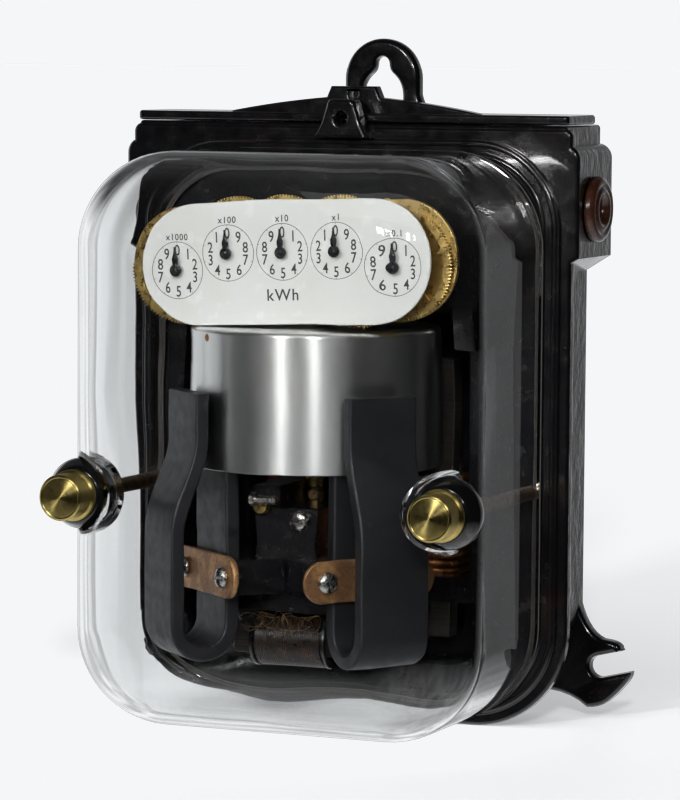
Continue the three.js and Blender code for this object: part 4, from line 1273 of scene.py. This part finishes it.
def slab(name, outlines, middle, half, edge, steps=1):
    """A thin plate about a layer's middle."""
    return plate(name, outlines, middle + half, middle - half, edge, steps)


def heading(start, end):
    return math.atan2(end.z - start.z, end.x - start.x)


def wheels_and_hands():
    dials = level_dials()
    order = DIAL_NAMES[::-1]
    for index, name in enumerate(order):
        dial = dials[name]
        centre = (dial.x, dial.z)
        layer = WHEEL_LAYERS[name]
        phase = heading(dial, dials[order[index - 1]]) + math.pi / WHEEL_TEETH if index > 0 else 0.0
        outlines = [gear_outline(WHEEL_TEETH, centre, phase),
                    *spoke_holes(centre, 3.6, 15.5, 1.0, 5, 18 + 31 * index)]
        arbor = [(0, BRASS_BACK), (0.8, BRASS_BACK), (0.8, layer + 1.1), (1.9, layer + 1.0),
                 (2.1, layer + 0.8), (2.1, layer - 0.8), (1.9, layer - 1.0), (0.8, layer - 1.1),
                 (0.8, -88.0), (0.7, -88.1), (0, -88.1)]
        parts = [slab("wheel", outlines, layer, 0.5, 0.08), turned("arbor", arbor, "Y", spot(*centre), 24)]
        if name in PINION_LAYERS:
            outline = gear_outline(PINION_TEETH, centre, heading(dial, dials[order[index + 1]]))
            parts.append(slab("pinion", [outline], PINION_LAYERS[name], 0.65, 0.06))
        piece(smooth(register_place(gather("train", *parts))), f"{name}_wheel", BRASS, f"{name}_hand",
              "brass", f"{name}_arbor")
        hand = plate("hand", [hand_outline(*centre)], -88.4, -89.4, 0.35, 3)
        cap = turned("cap", [(0, -89.2), (0.9, -89.2), (0.95, -89.5), (0.6, -89.75), (0, -89.8)], "Y",
                     spot(*centre), 20)
        piece(smooth(register_place(gather("hand", hand, cap))), f"{name}_dial_hand", POINTER,
              f"{name}_hand", "pointer_black", f"{name}_pointer")


def first_wheels():
    """The worm wheel's arbor and the middle arbor, which bring the drum's turning to the tenths dial."""
    entry = level_point(joint_point("input_spin"))
    middle = level_point(joint_point("middle_spin"))
    tenths = level_dials()["tenths"]
    centre = (entry.x, entry.z)
    turn = heading(entry, middle)
    rod = [(0, -57), (0.8, -57), (1, -57.4), (1, -59.6), (2.2, -59.9), (2.2, -64.1), (1, -64.4), (1, -75.9),
           (0.8, -76.2), (0, -76.2)]
    parts = [slab("worm_wheel", [small_wheel_outline(40, 5.55, 6.1, centre)], -62, 1.6, 0.12),
             slab("pinion", [gear_outline(PINION_TEETH, centre, turn)], LAYER_REAR, 0.9, 0.06),
             turned("rod", rod, "Y", spot(*centre), 24)]
    piece(smooth(register_place(gather("input", *parts))), "worm_wheel_arbor", BRASS, "input_wheel", "brass",
          "input_arbor")
    centre = (middle.x, middle.z)
    outlines = [gear_outline(60, centre, turn + math.pi + math.pi / 60),
                *spoke_holes(centre, 2.8, 8.8, 0.8, 4, 20)]
    rod = [(0, -70), (0.6, -70), (0.8, -70.3), (0.8, -72.4), (1.7, -72.7), (1.7, -74.3), (0.8, -74.6),
           (0.8, -80.2), (0.6, -80.4), (0, -80.4)]
    outward = gear_outline(PINION_TEETH, centre, heading(middle, tenths))
    parts = [slab("wheel", outlines, LAYER_REAR, 0.5, 0.08), slab("pinion", [outward], LAYER_A, 0.6, 0.06),
             turned("rod", rod, "Y", spot(*centre), 24)]
    piece(smooth(register_place(gather("middle", *parts))), "middle_wheel_arbor", BRASS, "middle_wheel",
          "brass", "middle_arbor")


# ---- register plates, pillars and the enamelled face ------------------------------------

REGISTER_SHIFT = (DIAL_CENTRES["tens"].x / MM + 0.9, DIAL_CENTRES["tens"].z / MM - 60)


def on_register(x, z):
    """A point of the level drawing as it lies about the tens dial."""
    return x + REGISTER_SHIFT[0], z + REGISTER_SHIFT[1]


def stadium(half_length, half_height, steps=36):
    centre_x, centre_z = on_register(-0.9, 56.2)
    ring = rounded(half_length, -half_height, half_height, half_height - 0.05, steps=steps)
    return [(centre_x + x, centre_z + z) for x, z in ring]


def register_plates():
    holes = [arc(centre.x, centre.z, 1.2, 0, 340, 17) for centre in level_dials().values()]
    face = plate("face", [stadium(53, 21), *holes], DIAL_BACK, DIAL_FRONT, 0.45, 4)
    face = register_place(face)
    piece(smooth(face), "enamelled_face", ENAMEL, "base", "white_enamel", "dial_plate")
    back = plate("back", [stadium(60, 20.5)], BRASS_BACK, BRASS_FRONT, 0.35, 2)
    piece(smooth(register_place(back)), "register_back", BRASS, "base", "brass", "register_back_plate")
    profile = [(0, -78.8), (1.9, -78.8), (1.9, -79.6), (1.4, -79.9), (1.4, -84.2), (1.9, -84.5),
               (1.9, -85.3), (0, -85.3)]
    for number, place in enumerate(((-35.4, 75.2), (33.6, 75.2), (-11, 38.8)), 1):
        pillar = turned("pillar", profile, "Y", spot(*on_register(*place)), 24)
        piece(smooth(register_place(pillar)), f"face_pillar_{number}", BRASS, "base", "brass",
              f"dial_pillar_{number}")
    profile = [(0, -50.6), (2.4, -50.6), (2.4, -53), (1.9, -53.5), (1.9, -73.3), (2.4, -73.8), (2.4, -76.2),
               (0, -76.2)]
    for suffix, side in SIDES:
        post = turned("post", profile, "Y", spot(*on_register(side * 30, 61)), 28)
        piece(smooth(register_place(post)), f"register_support_{suffix}", BRASS, "base", "brass",
              f"register_post_{suffix}")


INK_DEPTH = 0.04
CAPITAL = 0.729                  # a capital's height in Blender's built-in font at size 1


def letter_mesh(text, height, weight=0.0, spacing=1.0):
    """Flat text in x and z about its middle, in millimetres."""
    curve = bpy.data.curves.new("letters", "FONT")
    curve.body = text
    curve.size = height / CAPITAL
    curve.space_character = spacing
    curve.extrude = INK_DEPTH / 2
    curve.offset = weight
    curve.resolution_u = 3
    obj = bpy.data.objects.new("letters", curve)
    bpy.context.scene.collection.objects.link(obj)
    obj = settle(obj)
    xs = [vertex.co.x for vertex in obj.data.vertices]
    middle = Vector(((min(xs) + max(xs)) / 2, height / 2, 0))
    obj.data.transform(Matrix.Translation(-middle))
    return obj


def words(text, x, z, height, weight=0.0, spacing=1.0, squeeze=1.0):
    """Straight text on the face's front, about a point in millimetres."""
    obj = letter_mesh(text, height, weight, spacing)
    upright = Matrix.Rotation(math.radians(90), 4, "X")
    place = Matrix.Translation(Vector((x, DIAL_FRONT - INK_DEPTH / 2, z)) * MM)
    obj.data.transform(place @ Matrix.Scale(MM, 4) @ upright @ Matrix.Scale(squeeze, 4, (1, 0, 0)))
    return obj


CLOCKWISE = {"thousands": 1, "hundreds": -1, "tens": 1, "ones": -1, "tenths": 1}
CIRCLE = {"radius": 9.7, "line": 0.2, "digits": 6.95, "digit": 3.75, "label": 11.3}


def dial_marks(name, centre):
    x, z = centre.x, centre.z
    front = DIAL_FRONT - INK_DEPTH
    outer = CIRCLE["radius"]
    inner = outer - CIRCLE["line"]
    profile = [(inner, DIAL_FRONT), (outer, DIAL_FRONT), (outer, front), (inner, front)]
    marks = [turned("ring", profile, "Y", spot(x, z), 128, closed=True)]
    for digit in range(10):
        angle = CLOCKWISE[name] * 2 * math.pi * digit / 10
        place = (x + CIRCLE["digits"] * math.sin(angle), z + CIRCLE["digits"] * math.cos(angle))
        marks.append(words(str(digit), *place, CIRCLE["digit"], weight=0.06, squeeze=0.82))
        tick = block("tick", (-0.06, front, inner - 0.55), (0.06, DIAL_FRONT, inner + 0.05), 0.01, 1)
        tick.data.transform(Matrix.Translation(spot(x, z)) @ Matrix.Rotation(angle, 4, "Y"))
        marks.append(tick)
    return marks


MULTIPLIERS = {"thousands": "x1000", "hundreds": "x100", "tens": "x10", "ones": "x1", "tenths": "x0.1"}


def lettering():
    """Plain figures, a multiplier over each circle and the unit's symbol, none of the original's wording."""
    marks = []
    for name, centre in level_dials().items():
        marks += dial_marks(name, centre)
        marks.append(words(MULTIPLIERS[name], centre.x, centre.z + CIRCLE["label"], 2.2, 0.04, 1.15))
    marks.append(words("kWh", *on_register(-1.2, 45.5), 4.2, 0.05, 1.15))
    text = register_place(gather("marks", *marks))
    piece(text, "face_lettering", INK, "base", "pointer_black")


# ---- build ------------------------------------------------------------------------------

case()
lid()
bushings()
terminals()
gasket()
fastenings()
rotor()
bearings()
magnets()
straps()
works_frame()
fittings()
electromagnet()
register_plates()
wheels_and_hands()
first_wheels()
lettering()
glass_cover()


# ---- camera, lights and setting ---------------------------------------------------------

def camera():
    data = bpy.data.cameras.new("camera")
    data.lens = 178.7
    data.sensor_width = 36
    obj = bpy.data.objects.new("camera", data)
    bpy.context.scene.collection.objects.link(obj)
    eye = Vector((0.54787, -1.32078, 0.12960))
    target = Vector((0.006768, -0.057102, 0.007382))
    look = (target - eye).to_track_quat("-Z", "Y").to_matrix().to_4x4()
    obj.matrix_world = Matrix.Translation(eye) @ look @ Matrix.Rotation(math.radians(0.4), 4, "Z")
    bpy.context.scene.camera = obj


def lamp(name, azimuth, elevation, distance, width, height, watts):
    """A soft lamp. Azimuth 0 is straight in front, and it grows to the right."""
    data = bpy.data.lights.new(name, "AREA")
    data.shape = "RECTANGLE"
    data.size = width
    data.size_y = height
    data.energy = watts
    obj = bpy.data.objects.new(name, data)
    bpy.context.scene.collection.objects.link(obj)
    around = math.radians(azimuth)
    up = math.radians(elevation)
    target = Vector((0, -0.06, 0))
    level = math.cos(up)
    eye = target + distance * Vector((math.sin(around) * level, -math.cos(around) * level, math.sin(up)))
    aim = (target - eye).to_track_quat("-Z", "Y").to_matrix().to_4x4()
    obj.matrix_world = Matrix.Translation(eye) @ aim
    return obj


def surroundings():
    """A pale backdrop for the camera. The object itself sees walls that are bright behind it and to its left,
    dimmer to its right and overhead, and dark in front, with a pale floor below."""
    world = bpy.data.worlds.new("studio")
    bpy.context.scene.world = world
    world.use_nodes = True
    tree = world.node_tree
    tree.nodes.clear()

    def add(kind, **inputs):
        node = tree.nodes.new(kind)
        for key, value in inputs.items():
            node.inputs[key].default_value = value
        return node

    def ramp(source, start, end, at_start, at_end):
        node = add("ShaderNodeMapRange", **{"From Min": start, "From Max": end,
                                            "To Min": at_start, "To Max": at_end})
        tree.links.new(source, node.inputs["Value"])
        return node.outputs["Result"]

    def combine(operation, first, second):
        node = add("ShaderNodeMath")
        node.operation = operation
        tree.links.new(first, node.inputs[0])
        tree.links.new(second, node.inputs[1])
        return node.outputs["Value"]

    toward = add("ShaderNodeTexCoord").outputs["Generated"]
    parts = add("ShaderNodeSeparateXYZ")
    tree.links.new(toward, parts.inputs["Vector"])
    back_left = add("ShaderNodeVectorMath")
    back_left.operation = "DOT_PRODUCT"
    back_left.inputs[1].default_value = (-0.6, 0.8, 0)
    tree.links.new(toward, back_left.inputs[0])
    walls = combine("MULTIPLY", ramp(back_left.outputs["Value"], 0.1, 0.42, 0.0, 1.0),
                    ramp(parts.outputs["X"], 0.0, 0.35, 1.0, 0.3))
    walls = combine("MULTIPLY", walls, ramp(parts.outputs["Z"], 0.12, 0.4, 1.0, 0.1))
    room = combine("MAXIMUM", walls, ramp(parts.outputs["Z"], -0.3, -0.75, 0.0, 0.95))
    stretch = add("ShaderNodeMapping", Scale=(1, 1, 0.25))
    uneven = add("ShaderNodeTexNoise", Scale=7.0, Detail=2.0)
    tree.links.new(toward, stretch.inputs["Vector"])
    tree.links.new(stretch.outputs["Vector"], uneven.inputs["Vector"])
    room = combine("MULTIPLY", room, ramp(uneven.outputs["Fac"], 0.42, 0.62, 1.0, 0.55))

    around = add("ShaderNodeBackground", Color=(0.97, 0.98, 1.0, 1))
    tree.links.new(room, around.inputs["Strength"])
    seen = add("ShaderNodeBackground", Color=(0.914, 0.922, 0.939, 1), Strength=1.0)
    choose = add("ShaderNodeMixShader")
    tree.links.new(add("ShaderNodeLightPath").outputs["Is Camera Ray"], choose.inputs["Fac"])
    tree.links.new(around.outputs["Background"], choose.inputs[1])
    tree.links.new(seen.outputs["Background"], choose.inputs[2])
    tree.links.new(choose.outputs["Shader"], add("ShaderNodeOutputWorld").inputs["Surface"])


def floor():
    reach = 40
    height = cad_box[0][2] - 0.0003
    corners = [(x * reach, y * reach, height) for x, y in ((-1, -1), (1, -1), (1, 1), (-1, 1))]
    table = from_points("floor", corners, [(0, 1, 2, 3)])
    table.data.materials.append(FLOOR)
    table.is_shadow_catcher = True
    table.visible_glossy = False
    table.visible_transmission = False


camera()
surroundings()
floor()
lamp("window_right", 23, 20, 1.9, 0.12, 0.2, 7)
lamp("window_left", -8, 18, 1.9, 0.18, 0.2, 7)
fill = lamp("fill", 5, 50, 1.8, 1.6, 1.2, 5)
fill.visible_glossy = False

scene = bpy.context.scene
scene.view_settings.view_transform = "Standard"
scene.view_settings.look = "None"
